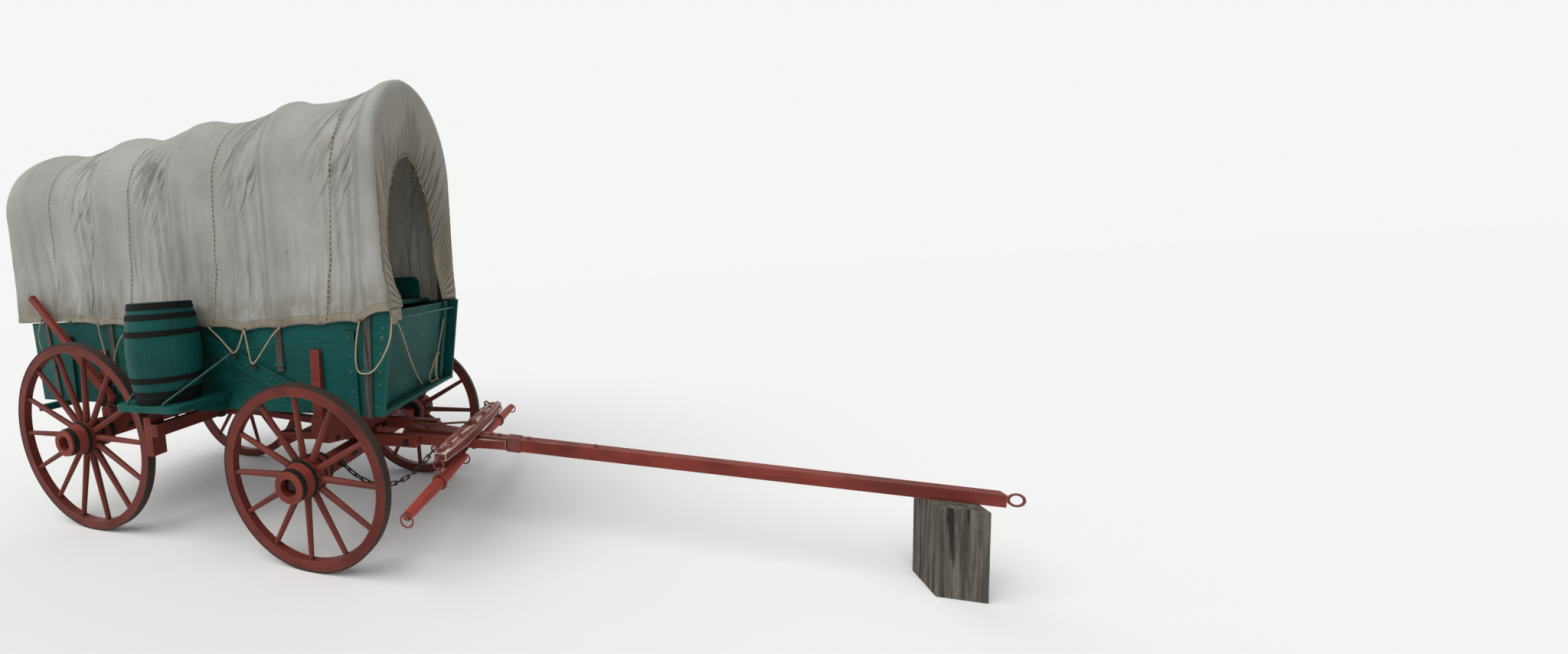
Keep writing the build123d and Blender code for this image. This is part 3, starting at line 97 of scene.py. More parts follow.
class Look:
    """One material's nodes."""

    def __init__(self, name, **shader):
        self.material = bpy.data.materials.new(name)
        self.material.use_nodes = True
        self.tree = self.material.node_tree
        self.tree.nodes.clear()
        self.shader = self.node("ShaderNodeBsdfPrincipled")
        for key, value in shader.items():
            self.shader.inputs[key.replace("_", " ")].default_value = value
        self.end = self.node("ShaderNodeOutputMaterial")
        self.link(self.shader.outputs["BSDF"], self.end.inputs["Surface"])
        self.spot = self.node("ShaderNodeTexCoord").outputs["Object"]

    def node(self, kind, **settings):
        """New node with its settings."""
        made = self.tree.nodes.new(kind)
        for key, value in settings.items():
            setattr(made, key, value)
        return made

    def link(self, source, target):
        self.tree.links.new(source, target)

    def put(self, target, value):
        """Links a socket to the target, or sets a plain value."""
        if isinstance(value, bpy.types.NodeSocket):
            self.link(value, target)
        else:
            target.default_value = value

    def math(self, operation, *values, clamped=False):
        made = self.node("ShaderNodeMath", operation=operation, use_clamp=clamped)
        for target, value in zip(made.inputs, values):
            self.put(target, value)
        return made.outputs[0]

    def times(self, *values):
        """Product of two or more values."""
        product = values[0]
        for value in values[1:]:
            product = self.math("MULTIPLY", product, value)
        return product

    def vector(self, operation, *values):
        made = self.node("ShaderNodeVectorMath", operation=operation)
        for target, value in zip(made.inputs, values):
            self.put(target, value)
        return made.outputs["Value" if operation in ("DOT_PRODUCT", "LENGTH") else "Vector"]

    def parts(self, value):
        made = self.node("ShaderNodeSeparateXYZ")
        self.put(made.inputs[0], value)
        return made.outputs

    def join(self, x, y, z):
        made = self.node("ShaderNodeCombineXYZ")
        for target, value in zip(made.inputs, (x, y, z)):
            self.put(target, value)
        return made.outputs[0]

    def map(self, name):
        """The two coordinates of a UV map."""
        return self.parts(self.node("ShaderNodeUVMap", uv_map=name).outputs["UV"])[:2]

    def normal(self):
        return self.node("ShaderNodeNewGeometry").outputs["Normal"]

    def noise(self, spot, scale, detail=4.0, rough=0.55):
        made = self.node("ShaderNodeTexNoise")
        self.put(made.inputs["Vector"], spot)
        for key, value in (("Scale", scale), ("Detail", detail), ("Roughness", rough)):
            made.inputs[key].default_value = value
        return made.outputs["Fac"]

    def span(self, value, low, high, to_low=0.0, to_high=1.0, smooth=True):
        """value from low to high, as a share, clamped."""
        made = self.node("ShaderNodeMapRange", interpolation_type="SMOOTHSTEP" if smooth else "LINEAR")
        self.put(made.inputs["Value"], value)
        for key, limit in (("From Min", low), ("From Max", high), ("To Min", to_low), ("To Max", to_high)):
            made.inputs[key].default_value = limit
        return made.outputs["Result"]

    def blend(self, share, a, b, kind="MIX"):
        made = self.node("ShaderNodeMix", data_type="RGBA", blend_type=kind)
        for target, value in ((made.inputs[0], share), (made.inputs[6], a), (made.inputs[7], b)):
            self.put(target, (*value, 1.0) if isinstance(value, tuple) and len(value) == 3 else value)
        return made.outputs[2]

    def tint(self, colour, tone, share, amount):
        """Colour with some of a tone laid over a share of it."""
        return self.blend(self.times(share, amount), colour, tone)

    def strip(self, value, middle, half):
        """1 where value is within half of middle."""
        away = self.math("ABSOLUTE", self.math("SUBTRACT", value, middle))
        return self.span(away, half, half * 0.5)

    def edges(self, radius):
        """1 on outer edges, from how a rounded edge would turn; used for wear, and in painted() also for a
        painted highlight.
        """
        rounded = self.node("ShaderNodeBevel", samples=4)
        rounded.inputs["Radius"].default_value = radius
        turn = self.vector("DOT_PRODUCT", rounded.outputs["Normal"], self.normal())
        return self.span(turn, 0.985, 0.86)

    def crevice_shade(self, distance):
        """1 in corners and seams, by how closed in the surface is: the mask of painted shade."""
        open_sky = self.node("ShaderNodeAmbientOcclusion", samples=6)
        open_sky.inputs["Distance"].default_value = distance
        return self.span(open_sky.outputs["AO"], 0.86, 0.35)

    def bump(self, height, strength, distance, normal=None):
        """Normal of a surface with this height on it, over another normal if one is given."""
        made = self.node("ShaderNodeBump")
        made.inputs["Strength"].default_value = strength
        made.inputs["Distance"].default_value = distance
        self.put(made.inputs["Height"], height)
        if normal is not None:
            self.link(normal, made.inputs["Normal"])
        return made.outputs["Normal"]

    def let_light_in(self, share, colour):
        """Passes a share of the light on to the other side, as thin cloth does."""
        through = self.node("ShaderNodeBsdfTranslucent")
        through.inputs["Color"].default_value = (*colour, 1.0)
        both = self.node("ShaderNodeMixShader")
        both.inputs[0].default_value = share
        self.link(self.shader.outputs["BSDF"], both.inputs[1])
        self.link(through.outputs["BSDF"], both.inputs[2])
        self.link(both.outputs["Shader"], self.end.inputs["Surface"])

    def finish(self, colour, rough, normal):
        """Joins the looks to the shader and gives the material."""
        self.put(self.shader.inputs["Base Color"], colour)
        self.put(self.shader.inputs["Roughness"], rough)
        self.link(normal, self.shader.inputs["Normal"])
        return self.material


def shade(red, green, blue):
    """Screen colour, 0 to 255, as the shader's."""
    out = []
    for value in (red, green, blue):
        value /= 255
        out.append(value / 12.92 if value <= 0.04045 else ((value + 0.055) / 1.055) ** 2.4)
    return tuple(out)


# The dirt tone darkens cracks and also paints shade in corners and seams; the faded tone lightens faded
# streaks and also paints a highlight on every edge.
GREEN = {"paint": shade(8, 78, 73), "deep": shade(4, 62, 58), "faded_and_highlight": shade(42, 122, 112),
         "wood": shade(104, 92, 76), "dirt_and_shade": shade(8, 30, 28)}
RED = {"paint": shade(126, 54, 44), "deep": shade(96, 40, 33), "faded_and_highlight": shade(158, 88, 74),
       "wood": shade(140, 118, 96), "dirt_and_shade": shade(48, 26, 21)}
# Painted shade: the wheels take a darker copy of the red paint.
SHADED_WHEEL_RED = dict(RED, paint=shade(108, 47, 39), deep=shade(84, 36, 30))
PRIMER = shade(204, 196, 184)


def along(look, x=1.0, y=1.0, z=1.0):
    """Object coordinates, shortened along the grain."""
    return look.vector("MULTIPLY", look.spot, (x, y, z))


def wheel_grain(look, centre, rim):
    """Coordinates that follow the spokes inside the rim and the felloes in it."""
    offset = look.vector("SUBTRACT", look.spot, tuple(centre))
    x, y, z = look.parts(offset)
    radius = look.vector("LENGTH", look.join(x, 0.0, z))
    outward = look.vector("NORMALIZE", look.join(x, 0.0, z))
    spoke = look.vector("ADD", look.vector("MULTIPLY", outward, (0.45, 0.45, 0.45)), look.join(0.0, y, 0.0))
    spoke = look.vector("ADD", spoke, look.join(0.0, 0.0, look.times(radius, 0.03)))
    felloe = look.join(look.times(look.math("ARCTAN2", z, x), 0.06), y, radius)
    made = look.node("ShaderNodeMix", data_type="VECTOR")
    look.put(made.inputs[0], look.math("GREATER_THAN", radius, rim))
    look.put(made.inputs[4], spoke)
    look.put(made.inputs[5], felloe)
    return made.outputs[1]


def painted(name, tones, grain=(0.06, 1.0, 1.0), chips=0.5, edge=0.007, wear=0.7, coordinates=None,
            bare_top=None, bands=None, peel=None, cracks=0.35):
    """Worn paint over timber: grain, cracks, faded places, chipped edges; painted shade in corners and seams,
    and painted highlights on the edges.
    """
    look = Look(name, Specular_IOR_Level=0.16)
    spot = coordinates(look) if coordinates else along(look, *grain)
    cloud = look.noise(look.spot, 3.1, 5)
    fine = look.noise(spot, 90, 5, 0.65)
    streak = look.noise(spot, 26, 4, 0.6)
    speck = look.noise(look.spot, 55, 5, 0.7)
    colour = look.blend(look.span(cloud, 0.35, 0.7), tones["paint"], tones["deep"])
    colour = look.tint(colour, tones["faded_and_highlight"], look.span(streak, 0.55, 0.80), 0.22)
    colour = look.tint(colour, tones["deep"], look.span(fine, 0.58, 0.70), 0.40)
    edges = look.edges(edge)
    worn = look.times(edges, look.span(speck, 0.40, 0.62))
    # Partly worn, faded paint and partly a painted highlight: every outer edge is lightened towards the faded
    # tone.
    colour = look.tint(colour, tones["faded_and_highlight"], edges, 0.60)
    scuff = look.times(look.span(look.noise(spot, 17, 6, 0.72), 0.67, 0.71), chips)
    bare = look.math("ADD", look.times(worn, wear), scuff, clamped=True)
    if bare_top is not None:
        up = look.parts(look.normal())[2]
        high = look.parts(look.spot)[2]
        top = look.times(look.span(up, 0.8, 0.95), look.span(high, bare_top - 0.01, bare_top))
        bare = look.math("MAXIMUM", bare, look.times(top, look.span(speck, 0.2, 0.45)))
    wood = look.blend(look.span(fine, 0.35, 0.65), tones["wood"], tuple(0.45 * v for v in tones["wood"]))
    colour = look.blend(bare, colour, wood)
    if peel is not None:
        colour = look.blend(peel(look, edges, spot), colour, PRIMER)
    # Painted shade: corners, seams and joins between parts are darkened by how closed in they are.
    colour = look.tint(colour, tones["dirt_and_shade"], look.crevice_shade(0.030), 0.75)
    crack = look.span(look.noise(spot, 60, 2, 0.5), 0.665, 0.70)
    colour = look.tint(colour, tones["dirt_and_shade"], crack, cracks)
    if bands is not None:
        colour = look.blend(bands(look), colour, shade(20, 20, 21))
    rough = look.span(look.math("ADD", bare, look.times(cloud, 0.5)), 0.1, 1.0, 0.52, 0.85)
    sunk = look.math("ADD", look.times(crack, 0.8), look.times(bare, 0.5))
    height = look.math("SUBTRACT", look.times(fine, 0.5), sunk)
    return look.finish(colour, rough, look.bump(height, 0.5, 0.0014))


def peeled(x_low, x_high, amount):
    """Pale primer where paint has come off upper faces and edges, between two places along X."""
    def share(look, edges, spot):
        x = look.parts(look.spot)[0]
        here = look.times(look.span(x, x_low, x_low + 0.05), look.span(x, x_high, x_high - 0.15))
        up = look.span(look.parts(look.normal())[2], 0.5, 0.9)
        patch = look.noise(spot, 11, 6, 0.70)
        upper = look.times(look.span(patch, 0.525, 0.555), up)
        rim = look.times(look.span(patch, 0.42, 0.48), edges)
        return look.times(look.math("MAXIMUM", upper, rim), here, amount)
    return share


def bare_timber(name, light, dark, grain=(1.0, 1.0, 0.05), depth=0.003, cracks=0.64):
    """Weathered wood with open grain and checks."""
    look = Look(name, Specular_IOR_Level=0.25)
    spot = along(look, *grain)
    ring = look.noise(spot, 42, 6, 0.7)
    broad = look.noise(spot, 9, 4, 0.6)
    check = look.span(look.noise(spot, 30, 3, 0.55), cracks, cracks + 0.05)
    colour = look.blend(look.span(ring, 0.36, 0.66), dark, light)
    colour = look.tint(colour, tuple(0.62 * v for v in light), look.span(broad, 0.4, 0.7), 0.5)
    colour = look.tint(colour, tuple(1.35 * v for v in light), look.edges(0.008), 0.3)
    colour = look.tint(colour, tuple(0.18 * v for v in dark), check, 0.9)
    height = look.math("SUBTRACT", look.times(ring, 0.5), check)
    return look.finish(colour, look.span(ring, 0.3, 0.7, 0.75, 0.92), look.bump(height, 0.8, depth))


def iron(name, base, rust, amount=0.5, gloss=0.48, metal=0.55, shine=0.5):
    """Forged iron, blackened and rusting."""
    look = Look(name, Metallic=metal, Specular_IOR_Level=shine)
    patch = look.noise(look.spot, 22, 6, 0.65)
    pits = look.noise(look.spot, 240, 4, 0.6)
    colour = look.tint(base, rust, look.span(patch, 0.42, 0.66), amount)
    colour = look.tint(colour, tuple(min(1, 2.2 * v) for v in base), look.edges(0.003), 0.35)
    colour = look.tint(colour, tuple(0.4 * v for v in base), look.span(pits, 0.55, 0.75), 0.4)
    return look.finish(colour, look.span(patch, 0.35, 0.7, gloss, 0.85), look.bump(pits, 0.4, 0.0012))


SEAM_X = (0.140, -0.790, -1.570, -2.490)      # cloth widths are sewn here, at the hem
SEAM_LEAN = 0.075                             # forward per metre up


def canvas():
    """Cotton duck: weave, seams with their stitches, hems, creases, grime and streaks; painted shade on the
    end faces, in the creases and pleats, and behind the bows.
    """
    look = Look("canvas_duck", Specular_IOR_Level=0.15, Sheen_Weight=0.2, Sheen_Roughness=0.6)
    look.let_light_in(0.15, (0.96, 0.91, 0.82))
    u, v = look.map("cut")
    hem, mouth = look.map("edge")
    pleat, reach = look.map("gathers")
    inward, on_leg = look.map("face")
    down = look.math("ABSOLUTE", v)
    cloud = look.noise(look.spot, 1.5, 5, 0.6)
    blot = look.noise(look.spot, 5.2, 6, 0.62)
    run = look.noise(look.join(look.times(u, 16.0), look.times(v, 1.3), 0.0), 1.0, 5, 0.6)
    colour = look.blend(look.span(cloud, 0.32, 0.68), shade(172, 171, 165), shade(153, 152, 146))
    streaks = look.times(look.span(run, 0.46, 0.72), look.span(down, 0.35, 1.75))
    colour = look.tint(colour, shade(112, 109, 101), streaks, 0.60)
    colour = look.tint(colour, shade(124, 118, 107), look.span(blot, 0.55, 0.78), 0.35)
    colour = look.tint(colour, shade(192, 190, 184), look.span(look.noise(look.spot, 11, 4), 0.62, 0.8), 0.25)
    # Painted shade: the cloth's end faces are darkened with a tan cast; on their legs a lighter tan takes
    # over.
    face = look.span(inward, 0.0, 0.10)
    colour = look.tint(colour, shade(136, 129, 115), face, 0.55)
    colour = look.tint(colour, shade(166, 154, 130), look.times(face, on_leg), 0.60)
    # Painted shadow: a dark line just inside the fold from side to end face, on the legs.
    fold_shadow = look.times(look.span(inward, 0.01, 0.06), look.span(inward, 0.17, 0.09), on_leg)
    colour = look.tint(colour, shade(78, 72, 62), fold_shadow, 0.55)
    foot = look.times(look.span(hem, 0.30, 0.02), look.span(blot, 0.30, 0.6))
    colour = look.tint(colour, shade(112, 103, 86), foot, 0.60)
    spots = look.span(look.noise(look.spot, 34, 2, 0.5), 0.745, 0.765)
    colour = look.tint(colour, shade(84, 80, 70), spots, 0.6)

    # Gathers at the openings, and creases behind the bows, their valleys and creases darkened as painted
    # shade
    turned = look.math("COSINE", look.times(pleat, 2 * math.pi))
    wave = look.math("ADD", look.times(turned, 0.5), 0.5)
    # Painted shade in the valleys of the gathers.
    valley_shade = look.times(look.span(wave, 0.55, 0.0), look.span(reach, 0.15, 0.95))
    colour = look.tint(colour, shade(66, 60, 51), valley_shade, 0.80)
    across = look.math("ADD", look.times(u, 0.86), look.times(down, 0.50))
    ahead = look.math("SUBTRACT", look.times(down, 0.86), look.times(u, 0.50))
    drawn = crease(look, look.join(look.times(across, 9.5), look.times(ahead, 1.7), v))
    upright = crease(look, look.join(look.times(u, 7.5), look.times(v, 0.9), 4.0))
    behind = ridge = 0.0
    for row in BOWS[1:]:
        away = look.math("SUBTRACT", row[1], u)
        here = look.times(look.span(away, 0.02, 0.07), look.span(away, 0.46, 0.16))
        behind = look.math("MAXIMUM", here, behind)
        line = look.times(look.span(away, 0.005, 0.020), look.span(away, 0.075, 0.030))
        ridge = look.math("MAXIMUM", line, ridge)
    upper = look.times(look.span(down, 0.12, 0.30), look.span(down, 1.25, 0.75))
    lower = look.times(look.span(down, 0.65, 1.10), look.span(reach, 0.05, 0.0))
    drawn = look.times(drawn, behind, upper)
    patchy = look.span(look.noise(look.spot, 2.3, 3), 0.42, 0.62)
    upright = look.times(upright, patchy, lower, look.math("ADD", 0.30, look.times(behind, 0.70)))
    # Painted shade in the creases, and a painted shadow line just behind each bow.
    colour = look.tint(colour, shade(104, 101, 95), drawn, 0.45)
    colour = look.tint(colour, shade(112, 108, 100), upright, 0.30)
    colour = look.tint(colour, shade(108, 106, 101), look.times(ridge, look.span(down, 0.05, 0.40)), 0.40)

    # Hems, seams and stitches
    band = look.span(hem, 0.052, 0.049)
    tan = look.math("MAXIMUM", band, look.span(mouth, 0.022, 0.018))
    colour = look.tint(colour, shade(140, 131, 113), tan, 0.85)
    colour = look.tint(colour, shade(98, 89, 72), look.times(tan, look.span(blot, 0.45, 0.7)), 0.55)
    line = look.math("MAXIMUM", look.strip(hem, 0.050, 0.0022), look.strip(mouth, 0.021, 0.0018))
    colour = look.tint(colour, shade(84, 72, 54), line, 0.65)
    lap = stitches = 0.0
    dash = look.math("LESS_THAN", look.math("FRACT", look.times(v, 32.0)), 0.62)
    leaning = look.math("ADD", u, look.times(look.math("SUBTRACT", down, 1.9), SEAM_LEAN))
    for x in SEAM_X:
        away = look.math("ABSOLUTE", look.math("SUBTRACT", leaning, x))
        lap = look.math("MAXIMUM", look.span(away, 0.016, 0.012), lap)
        row = look.times(look.span(away, 0.0060, 0.0036), dash)
        stitches = look.math("MAXIMUM", row, stitches)
    colour = look.tint(colour, shade(150, 138, 112), lap, 0.30)
    colour = look.tint(colour, shade(70, 56, 38), stitches, 0.90)

    weave = look.math("ADD", *(look.math("SINE", look.times(thread, 1900.0)) for thread in (u, v)))
    normal = look.bump(weave, 0.10, 0.0004)
    normal = look.bump(look.noise(look.spot, 26, 5, 0.6), 0.35, 0.010, normal)
    sunk = look.math("ADD", drawn, look.times(upright, 0.7))
    normal = look.bump(look.math("SUBTRACT", 1.0, sunk), 0.75, 0.018, normal)
    normal = look.bump(look.times(wave, look.span(reach, 0.1, 0.9)), 0.8, 0.018, normal)
    raised = look.math("SUBTRACT", look.math("ADD", lap, band), look.times(stitches, 0.9))
    normal = look.bump(raised, 0.9, 0.0022, normal)
    return look.finish(colour, look.span(blot, 0.3, 0.7, 0.86, 0.97), normal)


def crease(look, spot):
    """Thin lines, 1 in their middles, along the long direction of spot."""
    away = look.math("ABSOLUTE", look.math("SUBTRACT", look.noise(spot, 1.0, 3, 0.45), 0.5))
    return look.span(away, 0.085, 0.0)


def cloth_edge():
    """The cloth's rolled edge, more handled than the rest."""
    look = Look("canvas_edge", Specular_IOR_Level=0.15)
    blot = look.noise(look.spot, 9, 5, 0.6)
    colour = look.blend(look.span(blot, 0.35, 0.65), shade(164, 152, 130), shade(120, 108, 88))
    return look.finish(colour, 0.93, look.bump(look.noise(look.spot, 120, 4), 0.5, 0.002))


def rope_look():
    """Dry, worn fibre."""
    look = Look("rope_fibre", Specular_IOR_Level=0.2)
    fibre = look.noise(look.spot, 300, 4, 0.7)
    patch = look.noise(look.spot, 18, 3)
    colour = look.blend(look.span(fibre, 0.35, 0.7), shade(204, 184, 154), shade(146, 124, 96))
    colour = look.tint(colour, shade(122, 106, 84), look.span(patch, 0.45, 0.7), 0.4)
    return look.finish(colour, 0.9, look.bump(fibre, 0.5, 0.001))


# Meshes

def mesh_piece(name, verts, faces, material, body):
    """One named piece of the scene, on its body."""
    mesh = bpy.data.meshes.new(name)
    mesh.from_pydata([tuple(v) for v in verts], [], faces)
    mesh.update()
    for polygon in mesh.polygons:
        polygon.use_smooth = True
    obj = bpy.data.objects.new(name, mesh)
    bpy.context.scene.collection.objects.link(obj)
    mesh.materials.append(material)
    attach(obj, body)
    return obj


def path(points, step):
    """Evenly spaced points along the smooth line of a route."""
    curve = bpy.data.curves.new("route", "CURVE")
    curve.dimensions = "3D"
    spline = curve.splines.new("NURBS")
    spline.points.add(len(points) - 1)
    for point, where in zip(spline.points, points):
        point.co = (*where, 1.0)
    spline.use_endpoint_u = True
    spline.order_u = 3
    curve.resolution_u = 12
    holder = bpy.data.objects.new("route", curve)
    mesh = bpy.data.meshes.new_from_object(holder)
    raw = [v.co.copy() for v in mesh.vertices]
    bpy.data.objects.remove(holder)
    bpy.data.meshes.remove(mesh)
    bpy.data.curves.remove(curve)
    reach = [0.0]
    for a, b in zip(raw, raw[1:]):
        reach.append(reach[-1] + (b - a).length)
    count = max(2, round(reach[-1] / step))
    out, k = [], 0
    for i in range(count + 1):
        want = reach[-1] * i / count
        while k < len(raw) - 2 and reach[k + 1] < want:
            k += 1
        share = (want - reach[k]) / max(reach[k + 1] - reach[k], 1e-9)
        out.append(raw[k].lerp(raw[k + 1], clamp(share)))
    return out


def frames(points):
    """Side directions carried along a line without twisting."""
    sides, last = [], None
    for k, point in enumerate(points):
        ahead = (points[min(k + 1, len(points) - 1)] - points[max(k - 1, 0)]).normalized()
        if last is None:
            last = ahead.orthogonal().normalized()
        last = (last - ahead * last.dot(ahead)).normalized()
        sides.append((last.copy(), ahead.cross(last)))
    return sides


def skin(faces, base, rings, sides):
    """Faces from each ring of points to the next."""
    for row in range(base, base + (rings - 1) * sides, sides):
        for i in range(sides):
            j = (i + 1) % sides
            faces.append((row + i, row + j, row + sides + j, row + sides + i))


def tube(verts, faces, points, radius, sides=6):
    """Round tube along points, closed at its ends; radius is a number or a function of the place along."""
    base = len(verts)
    for k, (point, (a, b)) in enumerate(zip(points, frames(points))):
        r = radius(k / (len(points) - 1)) if callable(radius) else radius
        for i in range(sides):
            turn = 2 * math.pi * i / sides
            verts.append(point + a * (r * math.cos(turn)) + b * (r * math.sin(turn)))
    skin(faces, base, len(points), sides)
    faces.append([base + i for i in range(sides)][::-1])
    faces.append([base + (len(points) - 1) * sides + i for i in range(sides)])


def rope(verts, faces, route, radius=0.0048, pitch=0.034):
    """Three strands laid round a route."""
    middle = path(route, 0.0045)
    sides = frames(middle)
    step = (middle[1] - middle[0]).length
    for strand in range(3):
        line = []
        for k, (point, (a, b)) in enumerate(zip(middle, sides)):
            turn = 2 * math.pi * (k * step / pitch + strand / 3)
            line.append(point + (a * math.cos(turn) + b * math.sin(turn)) * radius * 0.52)
        tube(verts, faces, line, radius * 0.56, 5)


def torus(verts, faces, middle, axis, radius, wire, start=0.0, sweep=2 * math.pi, steps=28):
    """Ring or open hook of round wire."""
    turn = Vector((0, 0, 1)).rotation_difference(Vector(axis)).to_matrix()
    points = []
    for k in range(steps + 1):
        angle = start + sweep * k / steps
        points.append(Vector(middle) + turn @ Vector((radius * math.cos(angle), radius * math.sin(angle), 0)))
    tube(verts, faces, points, wire, 8)


def dome(verts, faces, spot, normal, radius, height, sides=10):
    """Rounded head of a bolt or nail."""
    normal = Vector(normal).normalized()
    a = normal.orthogonal().normalized()
    b = normal.cross(a)
    base = len(verts)
    rings = ((1.0, 0.0), (0.93, 0.45), (0.62, 0.85))
    for wide, up in rings:
        for i in range(sides):
            turn = 2 * math.pi * i / sides
            verts.append(Vector(spot) + (a * math.cos(turn) + b * math.sin(turn)) * radius * wide
                         + normal * height * up)
    verts.append(Vector(spot) + normal * height)
    skin(faces, base, len(rings), sides)
    last = base + (len(rings) - 1) * sides
    for i in range(sides):
        faces.append((last + i, last + (i + 1) % sides, base + len(rings) * sides))


def nut(verts, faces, spot, normal, across, height, turned):
    """Square nut, its corners taken off, with the bolt's end."""
    sides = 4
    count = sides * 2
    normal = Vector(normal).normalized()
    a = normal.orthogonal().normalized()
    b = normal.cross(a)
    base = len(verts)
    levels = ((1.0, 0.0), (1.0, 0.75), (0.84, 1.0), (0.42, 1.0), (0.42, 1.35), (0.34, 1.5))
    for wide, up in levels:
        for i in range(count):
            turn = turned + 2 * math.pi * i / count
            reach = across / 2 * wide / (math.cos(math.pi / sides) if i % 2 == 0 and wide > 0.5 else 1.0)
            corner = (a * math.cos(turn) + b * math.sin(turn)) * reach
            verts.append(Vector(spot) + corner + normal * height * up)
    skin(faces, base, len(levels), count)
    faces.append([base + (len(levels) - 1) * count + i for i in range(count)])


# Cover

GROMMETS = [              # x, hem height there, right side
    (-2.86, 1.532), (-2.56, 1.506), (-2.22, 1.487), (-1.90, 1.462), (-1.56, 1.440), (-1.20, 1.424),
    (-0.82, 1.424), (-0.523, 1.394), (-0.233, 1.408), (0.066, 1.420), (0.334, 1.428), (0.49, 1.492),
]


def bow_lean(row):
    """How far a bow leans forward per metre up."""
    foot_x, ridge_x, foot_z = row
    return (ridge_x - foot_x) / (RIDGE - foot_z)


def section(x):
    """Lean, ridge drop and side inset of the cloth at ridge position x, and the place between bows."""
    stops = [(COVER_REAR, 0.0)] + [(row[1], bow_lean(row)) for row in BOWS] + [(COVER_FRONT, 0.0)]
    for (x0, lean0), (x1, lean1) in zip(stops, stops[1:]):
        if x <= x1:
            break
    share = clamp((x - x0) / (x1 - x0))
    lean = mix(lean0, lean1, ease(share))
    if x0 == COVER_REAR or x1 == COVER_FRONT:
        bow = x1 if x0 == COVER_REAR else x0
        end = x0 if x0 == COVER_REAR else x1
        out = clamp((abs(x - bow) - 0.026) / (abs(end - bow) - 0.026))
        return lean, 0.020 * out ** 2, 0.014 * out ** 2, 0.0
    gap = x1 - x0
    t = clamp((x - x0 - 0.024) / (gap - 0.048))
    sag = math.sin(math.pi * t) ** 0.72 if 0 < t < 1 else 0.0
    return lean, 0.056 * sag, 0.030 * sag ** 0.7, sag


def hem_height(x, side):
    """Lower edge of the cloth, scalloped between its grommets."""
    x = clamp(x + (0.0 if side < 0 else 0.035 * math.sin(3 * x)), GROMMETS[0][0], GROMMETS[-1][0])
    for (x0, z0), (x1, z1) in zip(GROMMETS, GROMMETS[1:]):
        if x <= x1:
            break
    share = clamp((x - x0) / (x1 - x0))
    rise = 0.016 * abs(math.sin(math.pi * share)) ** 0.8
    return mix(z0, z1, share) + rise + 0.003 * noise.noise(Vector((x * 9, side, 0)))


def ridge_line(phase, sharp=1.6):
    """Fold crest from -1 to 1, sharper on its top."""
    value = 0.5 + 0.5 * math.cos(phase)
    return 2 * value ** sharp - 0.9


def folds(x, g, z, side, sag):
    """How far the cloth stands out of its smooth form, in metres."""
    far = Vector((x * 1.7, side * g * 1.7, 0.0))
    out = 0.0035 * noise.noise(far * 2.2) + 0.0016 * noise.noise(far * 7.0)
    free = clamp(sag * 1.3)
    for k, row in enumerate(BOWS):
        behind = row[1] - x
        if not -0.02 < behind < 0.55 or k == 0:
            continue
        swirl = 1.6 * noise.noise(Vector((x * 3.1, g * 2.0, 7.0 + k + side)))
        across = -0.86 * behind + 0.50 * g
        window = ease((behind - 0.03) / 0.10) * ease((0.50 - behind) / 0.22)
        window *= ease((g - 0.14) / (0.16 if side < 0 else 0.45)) * ease((1.05 - g) / 0.35)
        strength = 0.55 + 0.9 * noise.noise(Vector((k * 5.1, g * 1.5, behind * 2.0 + side)))
        crest = ridge_line(2 * math.pi * across / 0.078 + swirl, 2.2)
        out += 0.0125 * window * clamp(strength, 0.15, 1.2) * crest
        pull = 1.2 * noise.noise(Vector((x * 2.0, g * 1.1, 19.0 + k + side)))
        upright = ease((behind - 0.03) / 0.05) * ease((0.38 - behind) / 0.2) * ease((g - 0.55) / 0.5)
        out += 0.0085 * upright * ridge_line(2 * math.pi * (behind + 0.06 * g) / 0.094 + pull, 1.8)
    broad = 1.5 * noise.noise(Vector((x * 1.3, g * 0.6, 31.0 * side)))
    low = ease((g - 0.7) / 0.8)
    out += 0.0075 * low * free * math.sin(2 * math.pi * x / 0.31 + broad * 2 + 0.5 * g)
    slant = ease((g - 0.9) / 0.4) * free * clamp(0.3 + 1.3 * noise.noise(Vector((x * 1.1, 5.0, side))))
    out += 0.0105 * slant * ridge_line(2 * math.pi * (x * 0.8 + (1.8 - g) * 0.5) / 0.15 + broad, 1.8)
    for grommet_x, grommet_z in GROMMETS[1:-1]:
        dx = x - grommet_x
        above = max(0.0, z - grommet_z)
        if abs(dx) > 0.3 or above > 0.6:
            continue
        spread = 0.045 + 0.30 * above
        fan = math.exp(-(dx / (1.6 * spread)) ** 2) * math.exp(-above / 0.22)
        out += 0.0085 * fan * ridge_line(2 * math.pi * dx / spread + 0.6, 1.2)
    return out


def arch_point(x, t, top, half, foot, lean=0.0):
    """Point and outward direction on an arch; t runs from the right foot, -1, over the top, 0."""
    shoulder = top - half
    leg, bend = shoulder - foot, math.pi * half / 2
    g = abs(t) * (leg + bend)
    side = -1.0 if t < 0 else 1.0
    if g <= bend:
        angle = g / half
        y, z = half * math.sin(angle), shoulder + half * math.cos(angle)
        normal = Vector((0, side * math.sin(angle), math.cos(angle)))
    else:
        y, z = half, shoulder - (g - bend)
        normal = Vector((0, side, 0))
    return Vector((x + lean * (z - RIDGE), side * y, z)), normal, g, side


